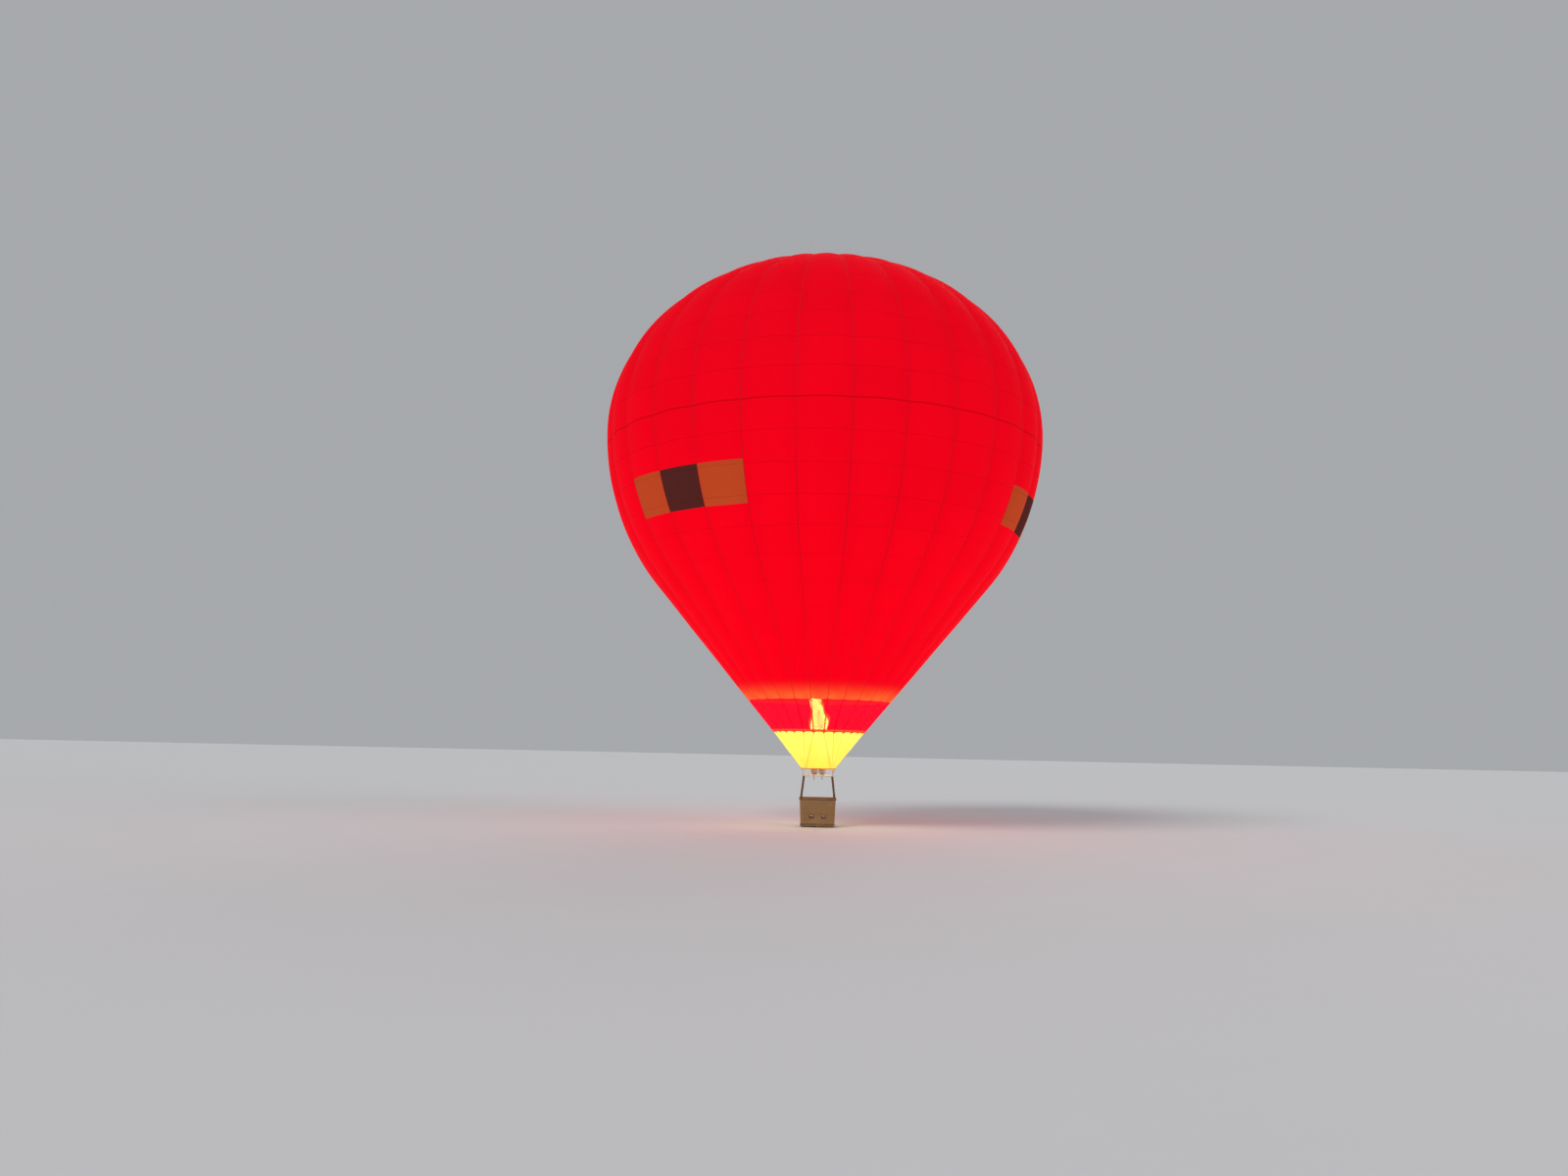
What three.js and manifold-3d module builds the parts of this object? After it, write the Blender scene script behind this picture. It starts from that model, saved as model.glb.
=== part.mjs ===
// A tethered hot-air balloon with its basket on the ground: envelope of sewn gores, parachute valve,
// mouth band, skirt, flying wires, load frame, gimballed twin burner, padded uprights and wicker basket.
// Millimetres, +Z up, front towards -Y. The origin is the centre of the envelope's widest circle,
// where the lift of the hot air is taken to act.
import * as THREE from "three";
import { mergeVertices } from "three/addons/utils/BufferGeometryUtils.js";
import Module from "manifold-3d";

// Envelope: a dome that is half an ellipse, an arc that turns it inwards, and a straight cone
const GORES = 28;
const EQUATOR_R = 9300;
const DOME_H = 7700;
const TURN_R = 9900;
const CONE_HALF_ANGLE = THREE.MathUtils.degToRad(39.8);
const MOUTH_R = 1855;
const MOUTH_Z = 3810;
const BAND_TOP_Z = 5155;
const FABRIC = 10; // thickness of every fabric shell
const SEAM_DIP = 0.012; // depth of a seam's valley, as a share of the radius there
const SCALLOP = 80; // rise of the mouth's edge between two seams
const VENT_DEG = 15; // edge of the vent, in degrees of the ellipse from the crown
const VALVE_DEG = 17.5; // edge of the parachute valve, which overlaps the vent's edge
const GAP = 0.3; // between two pieces that touch

// Coloured panels: a belt of blocks on three sides of the envelope
const BLOCK_TOP_DEG = 16.5; // on the turning arc, in degrees below the equator
const BLOCK_FOOT_DEG = 26;
const BLOCK_CENTRES = [-3, 6, 15]; // the gore at the middle of each belt

// Skirt, wires and load frame
const SKIRT_TOP_Z = 3960;
const SKIRT_FOOT_Z = 2371;
const FRAME_Z = 2095; // centre of the load frame's tubes
const FRAME_HALF = 590;
const FRAME_TUBE_R = 20;
const ANCHOR_HALF = 610; // where the wires of a corner meet, in x and in y
const ANCHOR_Z = 2255;
const WIRE_R = 2.5;
const WIRE_STEP = 9; // between the feet of two wires
const WIRE_PIN_R = 9;
const LINK_R = 18; // middle of the ring that gathers a corner's wires
const LINK_BAR_R = 5;
const HOOK_BAR_R = 6;
const HOOK_LENGTH = 70; // between the middles of a karabiner's ends
const HOOK_HALF = 17;
const LUG_HOLE_R = 14;

// Gimbal and burners
const GIMBAL_HALF_X = 500;
const GIMBAL_HALF_Y = 250;
const GIMBAL_BAR = 30;
const PIVOT_R = 8.3;
const BORE_R = 9;
const BURNER_X = 165;
const COIL_R = 150;
const COIL_FOOT = 118; // heights above the load frame
const COIL_TOP = 430;
const COIL_TURNS = 6;

// Basket
const BASKET_HALF_X = 705; // outer faces of the wicker at its foot
const BASKET_HALF_Y = 580;
const BASKET_FLARE = 0.042;
const BASKET_CORNER_R = 130;
const WICKER = 34;
const RUNNER_H = 45;
const FLOOR_H = 18;
const WICKER_TOP_Z = 1105;
const RIM_R = 45;
const UPRIGHT_R = 42;
const CYLINDER_R = 155;
const CYLINDER_X = 505;
const CYLINDER_Y = 380;

const TURN = Math.PI * 2;
const COLUMNS = GORES * 2; // even columns run down the middle of a gore, odd columns down a seam
const QUARTER_GORES = GORES / 4;
const turnEnd = {
  r: EQUATOR_R - TURN_R + TURN_R * Math.cos(CONE_HALF_ANGLE),
  z: MOUTH_Z,
};
turnEnd.z += (turnEnd.r - MOUTH_R) / Math.tan(CONE_HALF_ANGLE);
const EQUATOR_Z = turnEnd.z + TURN_R * Math.sin(CONE_HALF_ANGLE);
const COIL_STEP = (COIL_TOP - COIL_FOOT) / COIL_TURNS;

const wasm = await Module();
wasm.setup();

const balloon = new THREE.Group();
balloon.position.z = -EQUATOR_Z; // everything below is placed from the underside of the runners

const finishes = {
  red: [0xd40f1c, 0.6, 0],
  ochre: [0xc07a2c, 0.6, 0],
  charcoal: [0x2a2422, 0.6, 0],
  yellow: [0xf5c832, 0.6, 0],
  webbing: [0x8c1018, 0.8, 0],
  steel: [0xb8bcc0, 0.3, 0.9],
  alloy: [0x9a9ea4, 0.4, 0.8],
  coil: [0x8a8078, 0.35, 0.9],
  pad: [0x5a3a24, 0.8, 0],
  wicker: [0x9c6b3c, 0.8, 0],
  ply: [0xb98d5c, 0.6, 0],
  jacket: [0x24303e, 0.8, 0],
};

function addPiece(name, geometry, finish) {
  const [color, roughness, metalness] = finishes[finish];
  const mesh = new THREE.Mesh(
    geometry,
    new THREE.MeshStandardMaterial({ color, roughness, metalness }),
  );
  mesh.name = name;
  balloon.add(mesh);
  return mesh;
}

// Solids and their joins

function toSolid(geometry) {
  const flat = geometry.index ? geometry.toNonIndexed() : geometry;
  const bare = new THREE.BufferGeometry();
  bare.setAttribute("position", flat.getAttribute("position"));
  const welded = mergeVertices(bare, 1e-3);
  return new wasm.Manifold(
    new wasm.Mesh({
      numProp: 3,
      vertProperties: welded.attributes.position.array,
      triVerts: new Uint32Array(welded.index.array),
    }),
  );
}

function toGeometry(solid) {
  const { numProp, vertProperties, triVerts } = solid.getMesh();
  const points = new Float32Array((vertProperties.length / numProp) * 3);
  for (let i = 0; i < points.length / 3; i++)
    points.set(vertProperties.subarray(i * numProp, i * numProp + 3), i * 3);
  const geometry = new THREE.BufferGeometry();
  geometry.setAttribute("position", new THREE.BufferAttribute(points, 3));
  geometry.setIndex(new THREE.BufferAttribute(new Uint32Array(triVerts), 1));
  return geometry;
}

// The parts joined into one, with the holes cut out of them
function joined(parts, holes = []) {
  const whole = parts.map(toSolid).reduce((a, b) => a.add(b));
  return toGeometry(holes.map(toSolid).reduce((a, b) => a.subtract(b), whole));
}

function fromTriangles(corners) {
  const kept = [];
  for (let i = 0; i < corners.length; i += 3) {
    const [a, b, c] = corners.slice(i, i + 3);
    const flat = a.distanceTo(b) < 1e-3 || b.distanceTo(c) < 1e-3 || c.distanceTo(a) < 1e-3;
    if (!flat) kept.push(a, b, c);
  }
  return new THREE.BufferGeometry().setFromPoints(kept);
}

// Rings of equal size joined into a skin. Each ring turns anticlockwise seen from the ring after it.
function loft(rings, closed = false) {
  const corners = [];
  const n = rings[0].length;
  for (let k = 0; k < rings.length - (closed ? 0 : 1); k++) {
    const low = rings[k];
    const high = rings[(k + 1) % rings.length];
    for (let i = 0; i < n; i++) {
      const j = (i + 1) % n;
      corners.push(low[i], low[j], high[j], low[i], high[j], high[i]);
    }
  }
  if (!closed) {
    const [first, last] = [rings[0], rings[rings.length - 1]];
    for (let i = 1; i < n - 1; i++)
      corners.push(first[0], first[i + 1], first[i], last[0], last[i], last[i + 1]);
  }
  return fromTriangles(corners);
}

// A ring of points round centre, in the plane of u and v
function ring(centre, u, v, radius, sides, phase = 0) {
  return Array.from({ length: sides }, (_, i) => {
    const a = (i / sides) * TURN + phase;
    return centre
      .clone()
      .addScaledVector(u, radius * Math.cos(a))
      .addScaledVector(v, radius * Math.sin(a));
  });
}

const X = new THREE.Vector3(1, 0, 0);
const Y = new THREE.Vector3(0, 1, 0);
const Z = new THREE.Vector3(0, 0, 1);

// A straight round bar from a to b
function rod(a, b, radius, sides) {
  const along = b.clone().sub(a).normalize();
  const u = new THREE.Vector3().crossVectors(Math.abs(along.z) > 0.9 ? Y : Z, along);
  u.normalize();
  const v = new THREE.Vector3().crossVectors(along, u);
  return loft([ring(a, u, v, radius, sides), ring(b, u, v, radius, sides)]);
}

// A round bar bent along a flat closed path, with normal the normal of its plane
function hoop(path, normal, radius, sides, phase = 0) {
  return loft(
    path.map((point, i) => {
      const along = path[(i + 1) % path.length].clone();
      along.sub(path[(i + path.length - 1) % path.length]).normalize();
      const u = new THREE.Vector3().crossVectors(normal, along);
      return ring(point, u, normal, radius, sides, phase);
    }),
    true,
  );
}

function box(sizeX, sizeY, sizeZ, x, y, z) {
  return new THREE.BoxGeometry(sizeX, sizeY, sizeZ).translate(x, y, z);
}

// The outline of a rectangle with round corners at height z, anticlockwise from above
function roundedRectangle(halfX, halfY, radius, z, steps) {
  const points = [];
  [[1, 1], [-1, 1], [-1, -1], [1, -1]].forEach(([sx, sy], corner) => {
    for (let i = 0; i <= steps; i++) {
      const a = ((corner + i / steps) * TURN) / 4;
      points.push(
        new THREE.Vector3(
          sx * (halfX - radius) + radius * Math.cos(a),
          sy * (halfY - radius) + radius * Math.sin(a),
          z,
        ),
      );
    }
  });
  return points;
}

// The envelope's profile, as points with an outward normal

function domePoint(degrees) {
  const a = THREE.MathUtils.degToRad(degrees);
  const normal = new THREE.Vector2(DOME_H * Math.sin(a), EQUATOR_R * Math.cos(a)).normalize();
  return { r: EQUATOR_R * Math.sin(a), z: EQUATOR_Z + DOME_H * Math.cos(a), normal };
}

function turnPoint(degrees) {
  const a = THREE.MathUtils.degToRad(degrees);
  return {
    r: EQUATOR_R - TURN_R + TURN_R * Math.cos(a),
    z: EQUATOR_Z - TURN_R * Math.sin(a),
    normal: new THREE.Vector2(Math.cos(a), -Math.sin(a)),
  };
}

function conePoint(z) {
  return {
    r: MOUTH_R + (z - MOUTH_Z) * Math.tan(CONE_HALF_ANGLE),
    z,
    normal: new THREE.Vector2(Math.cos(CONE_HALF_ANGLE), -Math.sin(CONE_HALF_ANGLE)),
  };
}

const isSeam = (column) => Math.abs(column) % 2 === 1;
const azimuthOf = (column) => (column / COLUMNS) * TURN;

// The point of the gored surface on a column, sunk by depth, and moved along the seam or round the ring
function onGores(profile, column, depth, round = 0, down = 0) {
  const { r, z, normal } = profile;
  const sink = depth + (isSeam(column) ? SEAM_DIP * r : 0);
  const a = azimuthOf(column);
  const radial = r - normal.x * sink + normal.y * down;
  return new THREE.Vector3(
    radial * Math.sin(a) + round * Math.cos(a),
    -radial * Math.cos(a) + round * Math.sin(a),
    z - normal.y * sink - normal.x * down,
  );
}

// A shell of fabric on the grid of columns and rows, over the cells that belong to it. Its free edges
// are drawn in by half a gap. point(column, row, depth, round, down) gives a corner.
function fabricShell(rowCount, point, belongs) {
  const has = (cell, row) =>
    row >= 0 && row < rowCount - 1 && belongs((cell + COLUMNS) % COLUMNS, row);
  const corner = (column, row, depth) => {
    const upLeft = has(column - 1, row - 1);
    const upRight = has(column, row - 1);
    const downLeft = has(column - 1, row);
    const downRight = has(column, row);
    const round = Math.sign(upRight + downRight - upLeft - downLeft) * (GAP / 2);
    const down = Math.sign(downLeft + downRight - upLeft - upRight) * (GAP / 2);
    return point(column, row, depth, round, down);
  };
  const corners = [];
  for (let row = 0; row < rowCount - 1; row++)
    for (let cell = 0; cell < COLUMNS; cell++) {
      if (!has(cell, row)) continue;
      const places = [[cell, row], [cell, row + 1], [cell + 1, row + 1], [cell + 1, row]];
      const outer = places.map(([c, k]) => corner(c, k, 0));
      const inner = places.map(([c, k]) => corner(c, k, FABRIC));
      corners.push(outer[0], outer[1], outer[3], outer[3], outer[1], outer[2]);
      corners.push(inner[0], inner[3], inner[1], inner[3], inner[2], inner[1]);
      const beyond = [[cell - 1, row], [cell, row + 1], [cell + 1, row], [cell, row - 1]];
      beyond.forEach(([c, k], side) => {
        if (has(c, k)) return;
        const next = (side + 1) % 4;
        corners.push(outer[next], outer[side], inner[side]);
        corners.push(outer[next], inner[side], inner[next]);
      });
    }
  return fromTriangles(corners);
}

// Envelope: four quarters of seven gores, the inlaid colour panels and the mouth band

const DOME_ROWS_DEG = [VENT_DEG, VALVE_DEG, 25, 35, 45, 55, 65, 75, 83];
const TURN_ROWS_DEG = [0, 8.5, BLOCK_TOP_DEG, BLOCK_FOOT_DEG, 33];
const CONE_ROWS_Z = [turnEnd.z, 7400, BAND_TOP_Z];
const ENVELOPE_ROWS = [
  ...DOME_ROWS_DEG.map(domePoint),
  ...TURN_ROWS_DEG.map(turnPoint),
  ...CONE_ROWS_Z.map(conePoint),
];
const BLOCK_ROW = DOME_ROWS_DEG.length + TURN_ROWS_DEG.indexOf(BLOCK_TOP_DEG);
const BAND_ROW = ENVELOPE_ROWS.length - 1;
const QUARTERS = ["front", "right", "back", "left"];
const BLOCKS = BLOCK_CENTRES.flatMap((centre, belt) => [
  { gore: (centre - 1 + GORES) % GORES, name: `panel_ochre_${2 * belt + 1}`, finish: "ochre" },
  { gore: (centre + GORES) % GORES, name: `panel_charcoal_${belt + 1}`, finish: "charcoal" },
  { gore: (centre + 1 + GORES) % GORES, name: `panel_ochre_${2 * belt + 2}`, finish: "ochre" },
]);

const goreOf = (cell) => Math.ceil(cell / 2) % GORES;

function ownerOf(cell, row) {
  if (row === BAND_ROW) return "mouth_band";
  const block = row === BLOCK_ROW && BLOCKS.find(({ gore }) => gore === goreOf(cell));
  if (block) return block.name;
  const quarter = Math.floor((goreOf(cell) + (QUARTER_GORES - 1) / 2) / QUARTER_GORES) % 4;
  return `envelope_${QUARTERS[quarter]}`;
}

function envelopePoint(column, row, depth, round, down) {
  const mouthEdge = conePoint(MOUTH_Z + (isSeam(column) ? 0 : SCALLOP));
  const profile = row > BAND_ROW ? mouthEdge : ENVELOPE_ROWS[row];
  return onGores(profile, column, depth, round, down);
}

function addEnvelope() {
  const pieces = [
    ...QUARTERS.map((quarter) => ({ name: `envelope_${quarter}`, finish: "red" })),
    { name: "mouth_band", finish: "red" },
    ...BLOCKS,
  ];
  for (const { name, finish } of pieces) {
    const belongs = (cell, row) => ownerOf(cell, row) === name;
    addPiece(name, fabricShell(BAND_ROW + 2, envelopePoint, belongs), finish);
  }
}

// Parachute valve: a disc of fabric that seals the vent from inside
function addValve() {
  const rows = [0, 8, VENT_DEG, VALVE_DEG].map(domePoint);
  const under = FABRIC + GAP + 0.2;
  const point = (column, row, depth, round, down) =>
    onGores(rows[row], column, under + depth, 0, row === 0 ? 0 : down);
  addPiece("parachute_valve", fabricShell(rows.length, point, () => true), "red");
}

// Crown: the load tapes cross the vent on the seams and meet round a ring
const TAPE_HALF_WIDTH = 20;
const TAPE_THICK = 5;
const TAPE_LIFT = 2.5; // clears the gores that rise on both sides of a seam
const CROWN_RING_R = 130;
const ROSETTE_R = 200;

function crownTape(column) {
  const degrees = [1, 8, VENT_DEG, VENT_DEG + 1.3];
  return loft(
    degrees.map((d) => {
      const low = (side) => onGores(domePoint(d), column, -TAPE_LIFT, side * TAPE_HALF_WIDTH);
      const high = (side) =>
        onGores(domePoint(d), column, -TAPE_LIFT - TAPE_THICK, side * TAPE_HALF_WIDTH);
      return [low(-1), low(1), high(1), high(-1)];
    }),
  );
}

function annulus(innerR, outerR, z0, z1, sides) {
  const level = (radius, z) => ring(new THREE.Vector3(0, 0, z), X, Y, radius, sides);
  const rings = [level(outerR, z0), level(outerR, z1), level(innerR, z1), level(innerR, z0)];
  return loft(rings, true);
}

function addCrown() {
  const crownZ = EQUATOR_Z + DOME_H;
  const tapes = [];
  for (let column = 1; column < COLUMNS; column += 2) tapes.push(crownTape(column));
  const rosette = annulus(CROWN_RING_R + GAP, ROSETTE_R, crownZ - 1, crownZ + 10, GORES);
  addPiece("crown_tapes", joined([rosette, ...tapes]), "webbing");
  const crownRing = annulus(CROWN_RING_R - 24, CROWN_RING_R, crownZ - 3, crownZ + 13, GORES);
  addPiece("crown_ring", crownRing, "alloy");
}

// Corners of the load frame, from the front right one anticlockwise
const CORNERS = [
  { name: "front_right", sx: 1, sy: -1 },
  { name: "back_right", sx: 1, sy: 1 },
  { name: "back_left", sx: -1, sy: 1 },
  { name: "front_left", sx: -1, sy: -1 },
];
const cornerOf = (seamColumn) =>
  CORNERS[Math.floor((((seamColumn + COLUMNS) % COLUMNS) - 1) / (2 * QUARTER_GORES))];

function anchor(corner, inset, z) {
  return new THREE.Vector3(
    corner.sx * (ANCHOR_HALF - inset),
    corner.sy * (ANCHOR_HALF - inset),
    z,
  );
}

// Skirt: hangs inside the mouth and follows the wires down towards the four corners
const SKIRT_CLEAR = 12; // how far the skirt stays inside the wires at a corner

function skirtAnchor(column, depth) {
  const inset = SKIRT_CLEAR + depth;
  if (isSeam(column)) return anchor(cornerOf(column), inset, ANCHOR_Z);
  return skirtAnchor(column - 1, depth).lerp(skirtAnchor(column + 1, depth), 0.5);
}

function addSkirt() {
  const under = FABRIC + 2 * GAP;
  const heights = [SKIRT_TOP_Z, MOUTH_Z, (MOUTH_Z + SKIRT_FOOT_Z) / 2, SKIRT_FOOT_Z];
  const point = (column, row, depth) => {
    const z = heights[row];
    if (z >= MOUTH_Z) return onGores(conePoint(z), column, under + depth);
    const top = onGores(conePoint(MOUTH_Z), column, under + depth);
    return top.lerp(skirtAnchor(column, depth), (MOUTH_Z - z) / (MOUTH_Z - ANCHOR_Z));
  };
  addPiece("skirt", fabricShell(heights.length, point, () => true), "yellow");
}

// Flying wires: seven from the seams of each quarter of the mouth to a pin on the ring at its corner
function addWires() {
  for (const corner of CORNERS) {
    const foot = anchor(corner, 0, ANCHOR_Z);
    const outwards = new THREE.Vector3(corner.sx, corner.sy, 0).normalize();
    const across = new THREE.Vector3().crossVectors(Z, outwards);
    const reach = WIRE_STEP * (QUARTER_GORES / 2);
    const pinEnds = [-reach, reach].map((t) => foot.clone().addScaledVector(across, t));
    const centre = foot.clone().addScaledVector(Z, -LINK_R);
    const link = ring(centre, outwards, Z, LINK_R, 12);
    const parts = [rod(...pinEnds, WIRE_PIN_R, 8), hoop(link, across.clone().negate(), LINK_BAR_R, 6)];
    let place = (1 - QUARTER_GORES) / 2;
    for (let column = 1; column < COLUMNS; column += 2) {
      if (cornerOf(column) !== corner) continue;
      const start = foot.clone().addScaledVector(across, place * WIRE_STEP);
      const top = onGores(conePoint(MOUTH_Z), column, FABRIC / 2);
      const down = start.clone().sub(top).normalize();
      top.addScaledVector(down, 2 * GAP);
      parts.push(rod(start, top, WIRE_R, 6));
      place += 1;
    }
    addPiece(`wires_${corner.name}`, joined(parts), "steel");
  }
}

// Karabiners: a bar bent through the wires' ring above and the frame's lug below
const hookTopZ = ANCHOR_Z - 2 * LINK_R + LINK_BAR_R + GAP + HOOK_BAR_R;
const hookFootZ = hookTopZ - HOOK_LENGTH;
const lugHoleZ = hookFootZ + HOOK_BAR_R + 2 * GAP - LUG_HOLE_R;

function addKarabiners() {
  for (const corner of CORNERS) {
    const outwards = new THREE.Vector3(corner.sx, corner.sy, 0).normalize();
    const across = new THREE.Vector3().crossVectors(Z, outwards);
    const flat = roundedRectangle(HOOK_HALF, HOOK_LENGTH / 2, 8, 0, 2);
    const path = flat.map(({ x, y }) =>
      anchor(corner, 0, (hookTopZ + hookFootZ) / 2 + y).addScaledVector(across, x),
    );
    addPiece(`karabiner_${corner.name}`, hoop(path, outwards, HOOK_BAR_R, 6), "steel");
  }
}

// Load frame: a square of tube with corner blocks, lugs, tether tabs and the gimbal's bearings
const BLOCK_HALF = 45;
const BLOCK_H = 60;
const TAB_H = 10;

// A plate with a round end and a hole, drawn from x = 0 to the hole at x = reach
function holedPlate(reach, width, thick, holeR) {
  const outline = new THREE.Shape();
  outline.moveTo(0, -width / 2);
  outline.lineTo(reach, -width / 2);
  outline.absarc(reach, 0, width / 2, -TURN / 4, TURN / 4, false);
  outline.lineTo(0, width / 2);
  const hole = new THREE.Path();
  hole.absarc(reach, 0, holeR, 0, TURN, true);
  outline.holes.push(hole);
  const settings = { depth: thick, bevelEnabled: false, curveSegments: 6 };
  return new THREE.ExtrudeGeometry(outline, settings).translate(0, 0, -thick / 2);
}

function addLoadFrame() {
  const at = ({ sx, sy }) => new THREE.Vector3(sx * FRAME_HALF, sy * FRAME_HALF, FRAME_Z);
  const parts = CORNERS.map((corner, i) =>
    rod(at(corner), at(CORNERS[(i + 1) % 4]), FRAME_TUBE_R, 8),
  );
  const blockTop = FRAME_Z + BLOCK_H / 2;
  for (const corner of CORNERS) {
    const [x, y] = [corner.sx * FRAME_HALF, corner.sy * FRAME_HALF];
    const heading = Math.atan2(corner.sy, corner.sx);
    parts.push(box(2 * BLOCK_HALF, 2 * BLOCK_HALF, BLOCK_H, x, y, FRAME_Z));
    const lug = holedPlate(lugHoleZ - blockTop + 1, 46, 12, LUG_HOLE_R).rotateX(TURN / 4);
    lug.rotateY(-TURN / 4).rotateZ(heading);
    parts.push(lug.translate(corner.sx * ANCHOR_HALF, corner.sy * ANCHOR_HALF, blockTop - 1));
    const tab = holedPlate(105, 54, TAB_H, 12).rotateZ(heading);
    parts.push(tab.translate(x, y, FRAME_Z - BLOCK_H / 2 + TAB_H));
  }
  const holes = [];
  for (const side of [-1, 1]) {
    const start = new THREE.Vector3(side * (FRAME_HALF - 5), 0, FRAME_Z);
    const end = new THREE.Vector3(side * (GIMBAL_HALF_X + 40), 0, FRAME_Z);
    parts.push(rod(start, end, 20, 12));
    const deep = new THREE.Vector3(side * (FRAME_HALF - 12), 0, FRAME_Z);
    const proud = new THREE.Vector3(side * (GIMBAL_HALF_X + 30), 0, FRAME_Z);
    holes.push(rod(deep, proud, BORE_R, 12));
  }
  addPiece("load_frame", joined(parts, holes), "steel");
}

// Gimbal frame: turns on two pins in the load frame, and holds the burner bar's pins in its long sides
function addGimbal() {
  const level = (halfX, halfY, z) => roundedRectangle(halfX, halfY, 30, z, 2);
  const [low, high] = [FRAME_Z - GIMBAL_BAR / 2, FRAME_Z + GIMBAL_BAR / 2];
  const out = GIMBAL_BAR / 2;
  const frame = loft(
    [
      level(GIMBAL_HALF_X + out, GIMBAL_HALF_Y + out, low),
      level(GIMBAL_HALF_X + out, GIMBAL_HALF_Y + out, high),
      level(GIMBAL_HALF_X - out, GIMBAL_HALF_Y - out, high),
      level(GIMBAL_HALF_X - out, GIMBAL_HALF_Y - out, low),
    ],
    true,
  );
  const at = (x, y) => new THREE.Vector3(x, y, FRAME_Z);
  const pins = [-1, 1].map((side) =>
    rod(at(side * GIMBAL_HALF_X, 0), at(side * (FRAME_HALF - 14), 0), PIVOT_R, 12),
  );
  const bore = rod(at(0, -GIMBAL_HALF_Y - 2 * out), at(0, GIMBAL_HALF_Y + 2 * out), BORE_R, 12);
  addPiece("gimbal_frame", joined([frame, ...pins], [bore]), "steel");
}

// Burner bar: the beam between the inner pins, with the tray that carries both burners
const BAR = 40;
const TRAY_H = 14;
const TRAY_TOP = FRAME_Z + BAR / 2;

function addBurnerBar() {
  const at = (y) => new THREE.Vector3(0, y, FRAME_Z);
  const beamHalf = GIMBAL_HALF_Y - GIMBAL_BAR / 2 - 15;
  const parts = [
    box(BAR, 2 * beamHalf, BAR, 0, 0, FRAME_Z),
    rod(at(-GIMBAL_HALF_Y - 14), at(GIMBAL_HALF_Y + 14), PIVOT_R, 12),
    box(2 * BURNER_X + 120, 130, TRAY_H, 0, 0, TRAY_TOP - TRAY_H / 2),
  ];
  addPiece("burner_bar", joined(parts), "alloy");
}

// A solid turned about an upright axis at x, y from [radius, height] pairs that start and end on the axis
function turned(profile, sides, x, y) {
  const points = profile.map(([r, z]) => new THREE.Vector2(r, z));
  return new THREE.LatheGeometry(points, sides).rotateX(TURN / 4).translate(x, y, 0);
}

function addBurners() {
  for (const [name, sx] of [["left", -1], ["right", 1]]) {
    const x = sx * BURNER_X;
    const z = TRAY_TOP + GAP;
    const baseTop = FRAME_Z + COIL_FOOT - GAP;
    const block = box(110, 100, 48, x, 0, z + 24);
    const dish = turned(
      [[0, z + 40], [70, z + 40], [COIL_R, baseTop - 14], [COIL_R, baseTop],
        [COIL_R - 40, baseTop], [60, z + 58], [34, z + 58], [34, baseTop + 20], [0, baseTop + 20]],
      16, x, 0,
    );
    addPiece(`burner_base_${name}`, joined([block, dish]), "alloy");
    addPiece(`burner_coil_${name}`, coil(x), "coil");
    addBlastValve(name, x);
  }
}

// The vaporiser coil as a sleeve with one round for each turn of the tube
function coil(x) {
  const tube = COIL_STEP / 2;
  const level = (radius, z) => ring(new THREE.Vector3(x, 0, z), X, Y, radius, 16);
  const rings = [];
  for (let k = 0; k < COIL_TURNS; k++) {
    const z = FRAME_Z + COIL_FOOT + k * COIL_STEP;
    const lean = k * 2.5; // the coil narrows towards its top
    rings.push(level(COIL_R - tube - lean, z), level(COIL_R - lean, z + tube));
  }
  const top = FRAME_Z + COIL_TOP;
  rings.push(level(COIL_R - 45, top), level(COIL_R - 70, top));
  rings.push(level(COIL_R - 50, FRAME_Z + COIL_FOOT));
  return loft(rings, true);
}

// Blast valve: the valve's body under the tray, its fuel inlet, and the lever with its grip
function addBlastValve(name, x) {
  const top = FRAME_Z + BAR / 2 - TRAY_H - GAP;
  const at = (dx, y, z) => new THREE.Vector3(x + dx, y, z);
  const parts = [
    box(60, 70, 60, x, 0, top - 30),
    rod(at(0, 30, top - 30), at(0, 85, top - 30), 14, 8),
    rod(at(0, -30, top - 35), at(0, -110, top - 45), 9, 8),
    rod(at(0, -105, top - 36), at(0, -135, top - 190), 12, 8),
  ];
  addPiece(`blast_valve_${name}`, joined(parts), "alloy");
}

// Basket

const FLOOR_Z = RUNNER_H + GAP;
const WICKER_FOOT_Z = FLOOR_Z + FLOOR_H + GAP;

function basketOutline(z, inwards, steps = 4) {
  const flare = BASKET_FLARE * (z - WICKER_FOOT_Z);
  return roundedRectangle(
    BASKET_HALF_X + flare - inwards,
    BASKET_HALF_Y + flare - inwards,
    BASKET_CORNER_R - inwards,
    z,
    steps,
  );
}

const STEP_HOLES = { x: 250, z: 430, width: 170, height: 130 };

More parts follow.
